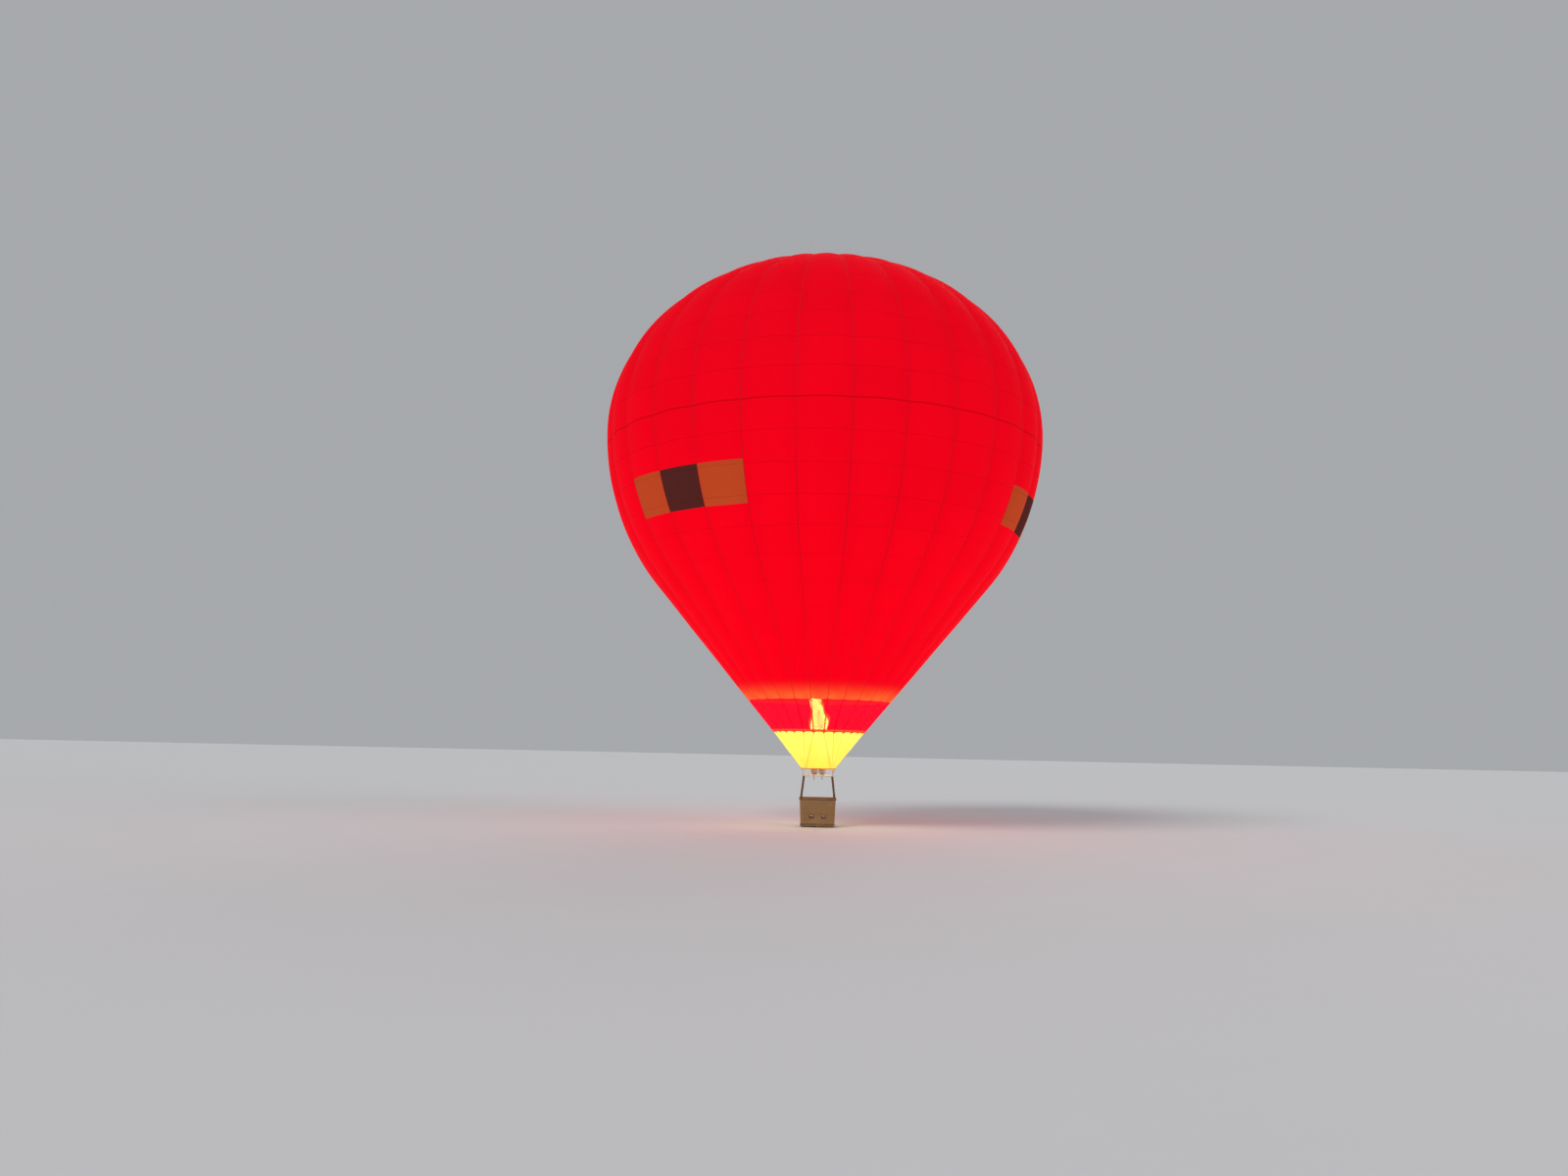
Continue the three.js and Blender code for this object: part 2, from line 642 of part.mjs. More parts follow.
function addBasket() {
  const tub = loft(
    [
      basketOutline(WICKER_FOOT_Z, 0),
      basketOutline(WICKER_TOP_Z, 0),
      basketOutline(WICKER_TOP_Z, WICKER),
      basketOutline(WICKER_FOOT_Z, WICKER),
    ],
    true,
  );
  const { x, z, width, height } = STEP_HOLES;
  const holes = [-x, x].map((hx) => box(width, 4 * BASKET_HALF_Y, height, hx, 0, z));
  addPiece("basket_wall", joined([tub], holes), "wicker");

  const floorInset = 0.5;
  const floor = loft([FLOOR_Z, FLOOR_Z + FLOOR_H].map((h) =>
    roundedRectangle(
      BASKET_HALF_X - floorInset,
      BASKET_HALF_Y - floorInset,
      BASKET_CORNER_R - floorInset,
      h,
      4,
    )));
  addPiece("basket_floor", floor, "ply");

  const bandTop = WICKER_FOOT_Z + 90;
  const band = [
    basketOutline(WICKER_FOOT_Z, -8),
    basketOutline(bandTop, -8),
    basketOutline(bandTop, -GAP),
    basketOutline(WICKER_FOOT_Z, -GAP),
  ];
  addPiece("basket_band", loft(band, true), "pad");

  const flareTop = BASKET_FLARE * (WICKER_TOP_Z - WICKER_FOOT_Z) - WICKER / 2;
  const rimZ = WICKER_TOP_Z + GAP + RIM_R * Math.cos(TURN / 16);
  const rimPath = roundedRectangle(
    BASKET_HALF_X + flareTop,
    BASKET_HALF_Y + flareTop,
    BASKET_CORNER_R,
    rimZ,
    4,
  );
  addPiece("basket_rim", hoop(rimPath, Z, RIM_R, 8, TURN / 16), "pad");

  [-460, 0, 460].forEach((rx, i) => {
    const runner = box(60, 1120, RUNNER_H, rx, 0, RUNNER_H / 2);
    addPiece(`runner_${["left", "middle", "right"][i]}`, runner, "ply");
  });
}

// Padded uprights from the basket's rim to the load frame, cut level at both ends
function addUprights() {
  const foot = WICKER_TOP_Z + 2 * GAP + 2 * RIM_R * Math.cos(TURN / 16);
  const top = FRAME_Z - BLOCK_H / 2 - GAP;
  for (const corner of CORNERS) {
    const low = new THREE.Vector3(corner.sx * 692, corner.sy * 567, foot);
    const high = new THREE.Vector3(corner.sx * FRAME_HALF, corner.sy * FRAME_HALF, top);
    const rings = [low, high].map((centre) => ring(centre, X, Y, UPRIGHT_R, 10));
    addPiece(`upright_${corner.name}`, loft(rings), "pad");
  }
}

// Gas cylinders: jacketed body, collar open at the top, and the valve inside the collar
function addCylinders() {
  const z = WICKER_FOOT_Z;
  const profile = [
    [0, z], [125, z], [CYLINDER_R, z + 40], [CYLINDER_R, z + 740], [120, z + 805], [100, z + 815],
    [100, z + 920], [90, z + 920], [90, z + 822], [26, z + 830], [26, z + 890], [0, z + 890],
  ];
  for (const corner of CORNERS) {
    const [x, y] = [corner.sx * CYLINDER_X, corner.sy * CYLINDER_Y];
    addPiece(`gas_cylinder_${corner.name}`, turned(profile, 14, x, y), "jacket");
  }
}

addEnvelope();
addValve();
addCrown();
addSkirt();
addWires();
addKarabiners();
addLoadFrame();
addGimbal();
addBurnerBar();
addBurners();
addBasket();
addUprights();
addCylinders();

const root = new THREE.Group();
root.add(balloon);
export default root;
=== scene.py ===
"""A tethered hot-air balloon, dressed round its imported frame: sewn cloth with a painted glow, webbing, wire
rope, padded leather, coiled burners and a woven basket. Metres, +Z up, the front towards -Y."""

import math

import bmesh
import bpy
import numpy as np
from mathutils import Matrix, Vector


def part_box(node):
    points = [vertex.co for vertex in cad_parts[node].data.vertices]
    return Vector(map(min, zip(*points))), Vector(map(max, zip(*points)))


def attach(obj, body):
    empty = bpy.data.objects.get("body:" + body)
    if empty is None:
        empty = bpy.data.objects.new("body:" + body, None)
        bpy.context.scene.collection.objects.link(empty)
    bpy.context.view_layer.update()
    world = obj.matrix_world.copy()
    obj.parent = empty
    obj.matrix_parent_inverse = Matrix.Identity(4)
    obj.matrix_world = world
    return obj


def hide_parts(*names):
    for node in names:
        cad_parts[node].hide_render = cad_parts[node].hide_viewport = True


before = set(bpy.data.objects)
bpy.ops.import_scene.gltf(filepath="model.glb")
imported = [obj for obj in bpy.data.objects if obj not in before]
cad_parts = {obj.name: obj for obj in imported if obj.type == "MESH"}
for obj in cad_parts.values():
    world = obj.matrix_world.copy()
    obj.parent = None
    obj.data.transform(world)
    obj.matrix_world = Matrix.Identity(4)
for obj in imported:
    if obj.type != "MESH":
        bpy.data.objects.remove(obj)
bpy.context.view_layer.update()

TURN = 2 * math.pi
X_AXIS, Y_AXIS, Z_AXIS = np.eye(3)
SIDES = (-1, 1)
rng = np.random.default_rng(28)

# Envelope, as the frame has it
GORES = 28
QUARTER_GORES = 7
EQUATOR_R = 9.3
DOME_H = 7.7
DOME_POINTS = 1600  # of the cloth's line, from the crown to the equator
TURN_R = 9.9
CONE_HALF_ANGLE = math.radians(39.8)
MOUTH_R = 1.855
SEAM_DIP = 0.012
VENT_DEG = 15
VALVE_DEG = 17.5
BLOCK_TOP_DEG = 16.5
BLOCK_FOOT_DEG = 26
BLOCK_CENTRES = (-3, 6, 15)
SCALLOP = 0.08
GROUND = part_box("runner_middle")[0][2]  # the underside of the runners
MOUTH_Z = GROUND + 3.81
BAND_TOP_Z = GROUND + 5.155
QUARTERS = {"front": 0, "right": 7, "back": 14, "left": 21}  # and the gore in the middle of each

# Sewing
CLOTH = 0.003
GORE_STEPS = 16  # columns of mesh to a gore
ROW_STEP = 0.24  # length of a cell of mesh down the cloth
PANEL_H = 1.166  # between two level seams
PANEL_ZERO = 2.573  # a level seam lies this far above the mouth, and others every PANEL_H from it
TAPE_W = 0.038
TAPE_THICK = 0.0016
LOOP_HALF = 0.0125  # half the width of a tape's fold round the crown ring
VALVE_UNDER = 0.0135  # the valve's cloth lies this far under the envelope's
SKIRT_UNDER = 0.0125  # and the skirt's this far
FOLD_RATE = rng.uniform(2.2, 4.2, GORES)
FOLD_PHASE = rng.uniform(0, 1, GORES)

# Under the mouth
SKIRT_TOP_Z = GROUND + 3.96
SKIRT_FOOT_Z = GROUND + 2.371
ANCHOR_HALF = 0.61
ANCHOR_Z = GROUND + 2.255
FRAME_Z = GROUND + 2.095
FRAME_HALF = 0.59
CORNERS = {"front_right": (1, -1), "back_right": (1, 1), "back_left": (-1, 1), "front_left": (-1, -1)}
PIPE_R = 0.0196
KARABINER_BAR_R = 0.006
LUG_HOLE_R = 0.014
GIMBAL_HALF = (0.5, 0.25)
GIMBAL_BAR = 0.03
BURNERS = {"left": -0.165, "right": 0.165}
JET_RING_R = 0.085
COIL_FOOT_Z = FRAME_Z + 0.118
COIL_H = 0.288
COIL_TURNS = 10.0
COIL_TUBE_R = 0.0092
COILS = ((0.1405, 0.127), (0.112, 0.103))  # each helix's radius at its foot and at its top
FLAME_FOOT_Z = FRAME_Z + 0.135
FLAME_H = 4.2
FLAME_SHARES = {"left": 1, "right": 0.74}  # of that height
FLAME_R = 0.19
FLAME_THROAT = 0.08  # its radius inside the coil
FLAME_SIDES = 28

# Basket
BASKET_HALF = (0.705, 0.58)
FLARE = 0.042
CORNER_R = 0.13
WICKER = 0.034
WEAVE_PITCH = 0.0165  # height of a row of weave, three canes wide
STRAND_HALF = (0.0022, 0.0074)  # half a strand's thickness and height
WEAVE_SWING = 0.0095  # of a strand, in and out round the stakes
STAKES = 150
STAKE_R = 0.0045
WICKER_FOOT = GROUND + 0.0636
WICKER_TOP = GROUND + 1.105
STEP_X, STEP_Z, STEP_W, STEP_H = 0.25, 0.43, 0.17, 0.13  # a step hole's place and size
CYLINDER_PLACE = (0.505, 0.38)
SWELL_FRAMES = 20
RIM_R = 0.0405
RIM_STEPS = 576
RIM_SIDES = 22
THONGS = 36  # turns of the lacing round the rim
POLE_FOOT = (0.692, 0.567)  # where an upright's axis meets the rim
SLEEVE_R = 0.0375
SLEEVE_ROWS = 110
SLEEVE_SIDES = 24
CUFFS = (0.05, 0.95)  # as shares of an upright's length
CROSSINGS = 22  # of the lacing down a sleeve

# Camera, in pixels of the photograph's frame
FOCAL_PX = 1200
FRAME_PX = (1600, 1200)
HORIZON_PX = 765
AXIS_PX = 838.3  # where the balloon's axis crosses row 520
CAMERA_AWAY = 49.76
CAMERA_Z = -13.196
ROLL_DEG = 1.2
SENSOR_MM = 36
STAGE_HALF = 600  # metres of floor each way from the axis


# The cloth's line from crown to mouth


def cloth_line():
    """Metres from the crown, radius and height at close points down the cloth."""
    dome = np.linspace(0, TURN / 4, DOME_POINTS)
    turn = np.linspace(0, CONE_HALF_ANGLE, 900)[1:]
    foot_r = EQUATOR_R - TURN_R + TURN_R * math.cos(CONE_HALF_ANGLE)
    foot_z = -TURN_R * math.sin(CONE_HALF_ANGLE)
    cone_r = np.linspace(foot_r, MOUTH_R - 0.25, 900)[1:]
    cone_z = foot_z - (foot_r - cone_r) / math.tan(CONE_HALF_ANGLE)
    r = np.concatenate([EQUATOR_R * np.sin(dome), EQUATOR_R - TURN_R + TURN_R * np.cos(turn), cone_r])
    z = np.concatenate([DOME_H * np.cos(dome), -TURN_R * np.sin(turn), cone_z])
    return np.concatenate([[0], np.cumsum(np.hypot(np.diff(r), np.diff(z)))]), r, z


ARC, LINE_R, LINE_Z = cloth_line()
MOUTH_ARC, BAND_ARC, DOME_ARC, SKIRT_ARC = (
    float(np.interp(-z, -LINE_Z, ARC)) for z in (MOUTH_Z, BAND_TOP_Z, 0, SKIRT_TOP_Z)
)
PANEL_TOP = MOUTH_ARC - PANEL_ZERO - 22 * PANEL_H
STRONG_SEAM = MOUTH_ARC - PANEL_ZERO - 10 * PANEL_H


def dome_arc(degrees):
    radius = EQUATOR_R * math.sin(math.radians(degrees))
    return float(np.interp(radius, LINE_R[:DOME_POINTS], ARC[:DOME_POINTS]))


VENT_ARC, VALVE_ARC = dome_arc(VENT_DEG), dome_arc(VALVE_DEG)
BLOCK_TOP_ARC, BLOCK_FOOT_ARC = (
    DOME_ARC + TURN_R * math.radians(degrees) for degrees in (BLOCK_TOP_DEG, BLOCK_FOOT_DEG)
)


def gore_width(arc):
    return np.interp(arc, ARC, LINE_R) * TURN / GORES


def on_cloth(arc, gore, lift=0.0, folds=0.0):
    """Points on the cloth, at metres from the crown and gores from the front, lifted along the normal."""
    arc, gore, lift = np.broadcast_arrays(arc, gore, lift)
    r, z = np.interp(arc, ARC, LINE_R), np.interp(arc, ARC, LINE_Z)
    step = 0.02
    dr = np.interp(arc + step, ARC, LINE_R) - np.interp(arc - step, ARC, LINE_R)
    dz = np.interp(arc + step, ARC, LINE_Z) - np.interp(arc - step, ARC, LINE_Z)
    length = np.hypot(dr, dz)
    across = gore - np.round(gore)
    sink = SEAM_DIP * r * (2 * across) ** 2 - lift - folds
    radial = r + dz / length * sink
    angle = gore / GORES * TURN
    return np.stack([radial * np.sin(angle), -radial * np.cos(angle), z - dr / length * sink], -1)


def cloth_values(arc, gore):
    """Metres to the nearest tape, metres from the crown, and the gore, at each point of a grid."""
    arc, gore = np.broadcast_arrays(arc, gore)
    across = np.abs(gore - np.round(gore))
    return np.stack([(0.5 - across) * gore_width(arc), arc, gore], -1)


def cloth_folds(arc, gore):
    """Small lengthwise folds, strongest where the cloth gathers at the mouth and at the vent."""
    which = np.floor(gore + 0.5).astype(int) % GORES
    across = gore - np.round(gore)
    gather = np.clip((arc - (MOUTH_ARC - 5.5)) / 5.5, 0, 1) ** 2
    gather = gather + np.clip((VENT_ARC + 2.2 - arc) / 2.2, 0, 1) ** 2
    waves = np.sin(TURN * (across * FOLD_RATE[which] + FOLD_PHASE[which] + arc * 0.13))
    edges = 1 - (2 * across) ** 4
    return 0.006 * gather * waves * edges + 0.0025 * np.sin(arc * 2.1 + which * 1.7) * edges


def stations(*stops):
    """Arcs from stop to stop in cells of about ROW_STEP."""
    spans = [
        np.linspace(a, b, max(2, int(round((b - a) / ROW_STEP)) + 1))[:-1]
        for a, b in zip(stops, stops[1:])
    ]
    return np.concatenate([*spans, [stops[-1]]])


def gore_columns(low, high):
    return np.linspace(low, high, int(round((high - low) * GORE_STEPS)) + 1)[None, :]


def quarter_of(gore):
    return int((gore + QUARTER_GORES // 2) % GORES // QUARTER_GORES)


def blocks():
    """The coloured panels: name, gore and look."""
    for belt, centre in enumerate(BLOCK_CENTRES):
        yield f"panel_ochre_{2 * belt + 1}", centre - 1, "ochre"
        yield f"panel_charcoal_{belt + 1}", centre, "charcoal"
        yield f"panel_ochre_{2 * belt + 2}", centre + 1, "ochre"


def cut_area(gores, start, end):
    """Flat area of the cloth cut for a number of gores, from one arc to another."""
    return gores * float(gore_width(np.linspace(start, end, 400)).mean() * (end - start))


# Mesh tools


def unit(vector):
    return np.asarray(vector, float) / np.linalg.norm(vector)


def around(count):
    """Equal angles of a full turn."""
    return np.arange(count) / count * TURN


def bearing(angles):
    """Level unit vectors at angles from the X axis."""
    return np.stack([np.cos(angles), np.sin(angles), 0 * angles], -1)


def hoop(centre, radius, count, u=X_AXIS, v=Y_AXIS):
    """Points of a circle in the plane of u and v."""
    angles = around(count)[:, None]
    return np.asarray(centre) + radius * (np.cos(angles) * u + np.sin(angles) * v)


def mm(*numbers):
    """Pairs of radius and height, from millimetres."""
    return np.array(numbers).reshape(-1, 2) / 1000


def grid_faces(rows, columns, close_rows=False, close_ends=True):
    """Quads of a grid whose columns go round, as a ring or as a bar with both ends closed."""
    faces = []
    for i in range(rows if close_rows else rows - 1):
        below = (i + 1) % rows
        for j in range(columns):
            k = (j + 1) % columns
            faces.append((i * columns + j, i * columns + k, below * columns + k, below * columns + j))
    if not close_rows and close_ends:
        faces.append(tuple(reversed(range(columns))))
        faces.append(tuple(range((rows - 1) * columns, rows * columns)))
    return faces


def poled_faces(rows, columns):
    """The same quads, closed by fans to the two end points that follow the grid."""
    faces = grid_faces(rows, columns, close_ends=False)
    count = rows * columns
    for j in range(columns):
        k = (j + 1) % columns
        faces.append((k, j, count))
        faces.append((count - columns + j, count - columns + k, count + 1))
    return faces


def frames_along(path, closed=False):
    """Two directions across a path at each point, carried along it without twist."""
    if closed:
        tangents = np.roll(path, -1, 0) - np.roll(path, 1, 0)
    else:
        tangents = np.gradient(path, axis=0)
    tangents /= np.linalg.norm(tangents, axis=1)[:, None]
    sides = [unit(np.cross(tangents[0], Z_AXIS if abs(tangents[0][2]) < 0.9 else Y_AXIS))]
    for tangent in tangents[1:]:
        sides.append(unit(sides[-1] - tangent * np.dot(sides[-1], tangent)))
    sides = np.array(sides)
    return sides, np.cross(tangents, sides)


def turned_rings(profile, centre, axis, sides):
    """A ring of points about an axis for each pair of radius and height."""
    turn = np.array(Vector(axis).normalized().to_track_quat("Z", "Y").to_matrix())
    radius, height = np.asarray(profile, float).T[:, :, None]
    angles = around(sides)
    rings = np.stack([radius * np.cos(angles), radius * np.sin(angles), height + 0 * angles], 2)
    return rings.reshape(-1, 3) @ turn.T + np.asarray(centre)


def vertices_of(mesh):
    co = np.empty(len(mesh.vertices) * 3)
    mesh.vertices.foreach_get("co", co)
    return co.reshape(-1, 3)


def finish_mesh(mesh, looks, smooth_deg=40):
    for look in looks.split():
        mesh.materials.append(LOOKS[look])
    mesh.polygons.foreach_set("use_smooth", [True] * len(mesh.polygons))
    mesh.set_sharp_from_angle(angle=math.radians(smooth_deg))
    return mesh


def link(name, data):
    thing = bpy.data.objects.new(name, data)
    bpy.context.scene.collection.objects.link(thing)
    return thing


def place(name, mesh, body="root", node=None):
    """A finished mesh in the scene, on its body, with any node that it replaces hidden."""
    piece = link(name, mesh)
    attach(piece, body)
    if node:
        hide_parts(node)
    return piece


class Stock:
    """Points and faces that gather into one mesh, each face with a look and each point with values."""

    def __init__(self):
        self.points = []
        self.faces = []
        self.looks = []
        self.values = {}
        self.count = 0

    def add(self, points, faces, look=0, **values):
        points = np.asarray(points, float).reshape(-1, 3)
        self.faces += [[int(i) + self.count for i in face] for face in faces]
        self.looks += [look] * len(faces)
        self.points.append(points)
        for name, value in values.items():
            self.values.setdefault(name, []).append(np.broadcast_to(value, points.shape))
        self.count += len(points)
        return self

    def tube(self, path, radius, sides=10, closed=False, look=0, **values):
        """A round bar along a path. radius may differ from point to point."""
        path = np.asarray(path, float)
        u, v = frames_along(path, closed)
        radius = np.broadcast_to(radius, len(path))[:, None, None]
        angles = around(sides)[None, :, None]
        points = path[:, None] + radius * (np.cos(angles) * u[:, None] + np.sin(angles) * v[:, None])
        return self.add(points, grid_faces(len(path), sides, closed), look, **values)

    def turned(self, profile, centre, axis=Z_AXIS, sides=24, look=0, top=None):
        """A body turned about an axis, flat at both ends or with its last pole at another height."""
        poles = [(0, profile[0][1]), (0, profile[-1][1] if top is None else top)]
        rings = turned_rings(profile, centre, axis, sides)
        points = np.concatenate([rings, turned_rings(poles, centre, axis, 1)])
        return self.add(points, poled_faces(len(profile), sides), look)

    def ring(self, profile, centre, axis=Z_AXIS, sides=24, look=0):
        """A ring turned about an axis, from a closed profile."""
        points = turned_rings(profile, centre, axis, sides)
        return self.add(points, grid_faces(len(profile), sides, True), look)

    def shaped(self, shape, look=0):
        """What a bmesh holds, which is freed."""
        shape.verts.index_update()
        points = [v.co[:] for v in shape.verts]
        faces = [[v.index for v in f.verts] for f in shape.faces]
        shape.free()
        return self.add(points, faces, look)

    def block(self, size, centre, bevel=0.003, look=0, heading=0.0, steps=2):
        """A block with rounded edges, turned about the upright axis."""
        shape = bmesh.new()
        bmesh.ops.create_cube(shape, size=1)
        bmesh.ops.scale(shape, vec=size, verts=shape.verts)
        bevelled = {"geom": shape.edges[:], "offset": bevel, "segments": steps}
        bmesh.ops.bevel(shape, **bevelled, profile=0.6, affect="EDGES")
        spin = Matrix.Translation(centre) @ Matrix.Rotation(heading, 4, "Z")
        bmesh.ops.transform(shape, matrix=spin, verts=shape.verts)
        return self.shaped(shape, look)

    def plate(self, reach, width, hole, thick, place_at):
        """A flat strip from nought to a round end about a hole at reach, along the first axis of place_at."""
        tip = np.linspace(-TURN / 4, TURN / 4, 12)
        tip = [(reach + width / 2 * math.cos(a), width / 2 * math.sin(a), 0) for a in tip]
        shape = bmesh.new()
        edges = []
        for outline in ([(0, -width / 2, 0), *tip, (0, width / 2, 0)], hoop((reach, 0, 0), hole, 20)):
            rim = [shape.verts.new(point) for point in outline]
            edges += [shape.edges.new(pair) for pair in zip(rim, rim[1:] + rim[:1])]
        bmesh.ops.triangle_fill(shape, use_beauty=True, edges=edges)
        for face in shape.faces:
            if face.normal.z < 0:
                face.normal_flip()
        made = bmesh.ops.extrude_face_region(shape, geom=shape.faces[:])
        lifted = [v for v in made["geom"] if isinstance(v, bmesh.types.BMVert)]
        bmesh.ops.translate(shape, verts=lifted, vec=(0, 0, thick))
        bmesh.ops.recalc_face_normals(shape, faces=shape.faces[:])
        bmesh.ops.transform(shape, matrix=place_at, verts=shape.verts)
        return self.shaped(shape)

    def shell(self, outer, inner, look=0, mask=None, wrap=False, **values):
        """A thin shell between two grids of points, over the cells of mask, closed at every edge."""
        rows, columns = outer.shape[:2]
        across = columns if wrap else columns - 1
        if mask is None:
            mask = np.ones((rows - 1, across), bool)
        i, j = np.nonzero(mask)
        next_j = (j + 1) % columns
        corners = [(i, j), (i + 1, j), (i + 1, next_j), (i, next_j)]
        out = np.stack([a * columns + b for a, b in corners], 1)
        size = rows * columns
        faces = [out, out[:, ::-1] + size]
        padded = np.zeros((rows + 1, across + 2), bool)
        padded[1:-1, 1:-1] = mask
        if wrap:
            padded[1:-1, 0] = mask[:, -1]
            padded[1:-1, -1] = mask[:, 0]
        for di, dj, a, b in [(0, -1, 0, 1), (1, 0, 1, 2), (0, 1, 2, 3), (-1, 0, 3, 0)]:
            edge = ~padded[i + 1 + di, j + 1 + dj]
            rim = [out[edge, b], out[edge, a], out[edge, a] + size, out[edge, b] + size]
            faces.append(np.stack(rim, 1))
        faces = np.concatenate(faces)
        used, renamed = np.unique(faces, return_inverse=True)
        both = np.concatenate([outer.reshape(-1, 3), inner.reshape(-1, 3)])[used]
        picked = {name: np.concatenate([v.reshape(-1, 3)] * 2)[used] for name, v in values.items()}
        return self.add(both, renamed.reshape(faces.shape).tolist(), look, **picked)

    def mesh(self, name, looks, smooth_deg=40):
        mesh = bpy.data.meshes.new(name)
        mesh.from_pydata(np.concatenate(self.points).tolist(), [], self.faces)
        mesh.polygons.foreach_set("material_index", self.looks)
        for label, parts in self.values.items():
            layer = mesh.attributes.new(label, "FLOAT_VECTOR", "POINT")
            layer.data.foreach_set("vector", np.concatenate(parts).astype(np.float32).ravel())
        return finish_mesh(mesh, looks, smooth_deg)

    def piece(self, name, looks, slot, node=None, body="root", smooth_deg=40):
        return place(name, self.mesh(name, looks, smooth_deg), body, node)


# Node tools


def feed(tree, socket, value):
    """A link into a socket, or a plain value on it. A colour may leave out its alpha."""
    if isinstance(value, Flow):
        tree.links.new(value.socket, socket)
    elif socket.type == "RGBA" and len(value) == 3:
        socket.default_value = (*value, 1)
    else:
        socket.default_value = value


class Flow:
    """A node's output that plain arithmetic works on."""

    def __init__(self, tree, socket):
        self.tree = tree
        self.socket = socket

    def math(self, operation, *others, swap=False):
        node = self.tree.nodes.new("ShaderNodeMath")
        node.operation = operation
        values = [self, *others]
        for socket, value in zip(node.inputs, values[::-1] if swap else values):
            feed(self.tree, socket, value)
        return Flow(self.tree, node.outputs[0])

    def __add__(self, other):
        return self.math("ADD", other)

    def __mul__(self, other):
        return self.math("MULTIPLY", other)

    def __sub__(self, other):
        return self.math("SUBTRACT", other)

    def __truediv__(self, other):
        return self.math("DIVIDE", other)

    def __rsub__(self, other):
        return self.math("SUBTRACT", other, swap=True)

    __radd__ = __add__
    __rmul__ = __mul__

    def highest(self, other):
        return self.math("MAXIMUM", other)

    def clamped(self):
        return self.highest(0.0).math("MINIMUM", 1.0)

    def near(self, half_width, soft):
        """1 where the value is within half_width of nought, and 0 from soft further on."""
        return 1 - ((self.math("ABSOLUTE") - half_width) / soft).clamped()

    def smooth(self, low, high):
        """0 up to low and 1 from high on, with a soft way between."""
        t = ((self - low) / (high - low)).clamped()
        return t * t * (3 - 2 * t)

    def level_lines(self, start, step):
        """The distance to the nearest of the lines that lie every step from start."""
        return ((self - start) / step).math("PINGPONG", 0.5) * step


class Nodes:
    """A node tree that every node but the Math nodes is added to in one way."""

    def node(self, kind, settings=(), values=(), output=0):
        """Any node: its settings are set first, and then the values or links of its sockets."""
        node = self.tree.nodes.new(kind)
        for label, value in dict(settings).items():
            if label == "ramp":
                stops = node.color_ramp.elements
                while len(stops) < len(value):
                    stops.new(0.5)
                for stop, (position, colour) in zip(stops, value):
                    stop.position = position
                    stop.color = (*colour, 1)
            else:
                setattr(node, label, value)
        for label, value in dict(values).items():
            feed(self.tree, node.inputs[label], value)
        return Flow(self.tree, node.outputs[output])


class Finish(Nodes):
    """One material. A number or colour that is the same all over goes straight to its socket."""

    def __init__(self, name, **constants):
        self.material = bpy.data.materials.new(name)
        self.material.use_nodes = True
        self.tree = self.material.node_tree
        self.shader = self.tree.nodes["Principled BSDF"]
        for socket, value in constants.items():
            self.set(socket.replace("_", " "), value)

    def set(self, socket, value):
        feed(self.tree, self.shader.inputs[socket], value)

    def places(self):
        return self.node("ShaderNodeTexCoord", output="Object")

    def value(self, name):
        """The three numbers of a mesh's attribute."""
        return self.split(self.node("ShaderNodeAttribute", {"attribute_name": name}, output="Vector"))

    def split(self, vector):
        values = {"Vector": vector}
        return [self.node("ShaderNodeSeparateXYZ", values=values, output=axis) for axis in "XYZ"]

    def join(self, x, y, z):
        return self.node("ShaderNodeCombineXYZ", values={"X": x, "Y": y, "Z": z})

    def mix(self, factor, first, second):
        values = {0: factor, 6: first, 7: second}
        return self.node("ShaderNodeMix", {"data_type": "RGBA"}, values, output=2)

    def ramp(self, factor, *stops):
        return self.node("ShaderNodeValToRGB", {"ramp": stops}, {"Fac": factor.clamped()})

    def noise(self, scale, detail=3.0, vector=None):
        values = {"Vector": vector or self.places(), "Scale": scale, "Detail": detail, "Roughness": 0.55}
        return self.node("ShaderNodeTexNoise", values=values, output="Fac")

    def stretched(self, *scales):
        values = {0: self.places(), 1: scales}
        return self.node("ShaderNodeVectorMath", {"operation": "MULTIPLY"}, values)

    def bump(self, height, distance, strength):
        values = {"Height": height, "Distance": distance, "Strength": strength}
        self.set("Normal", self.node("ShaderNodeBump", values=values, output="Normal"))


# Finishes


def darker(colour, share):
    return tuple(share * c for c in colour)


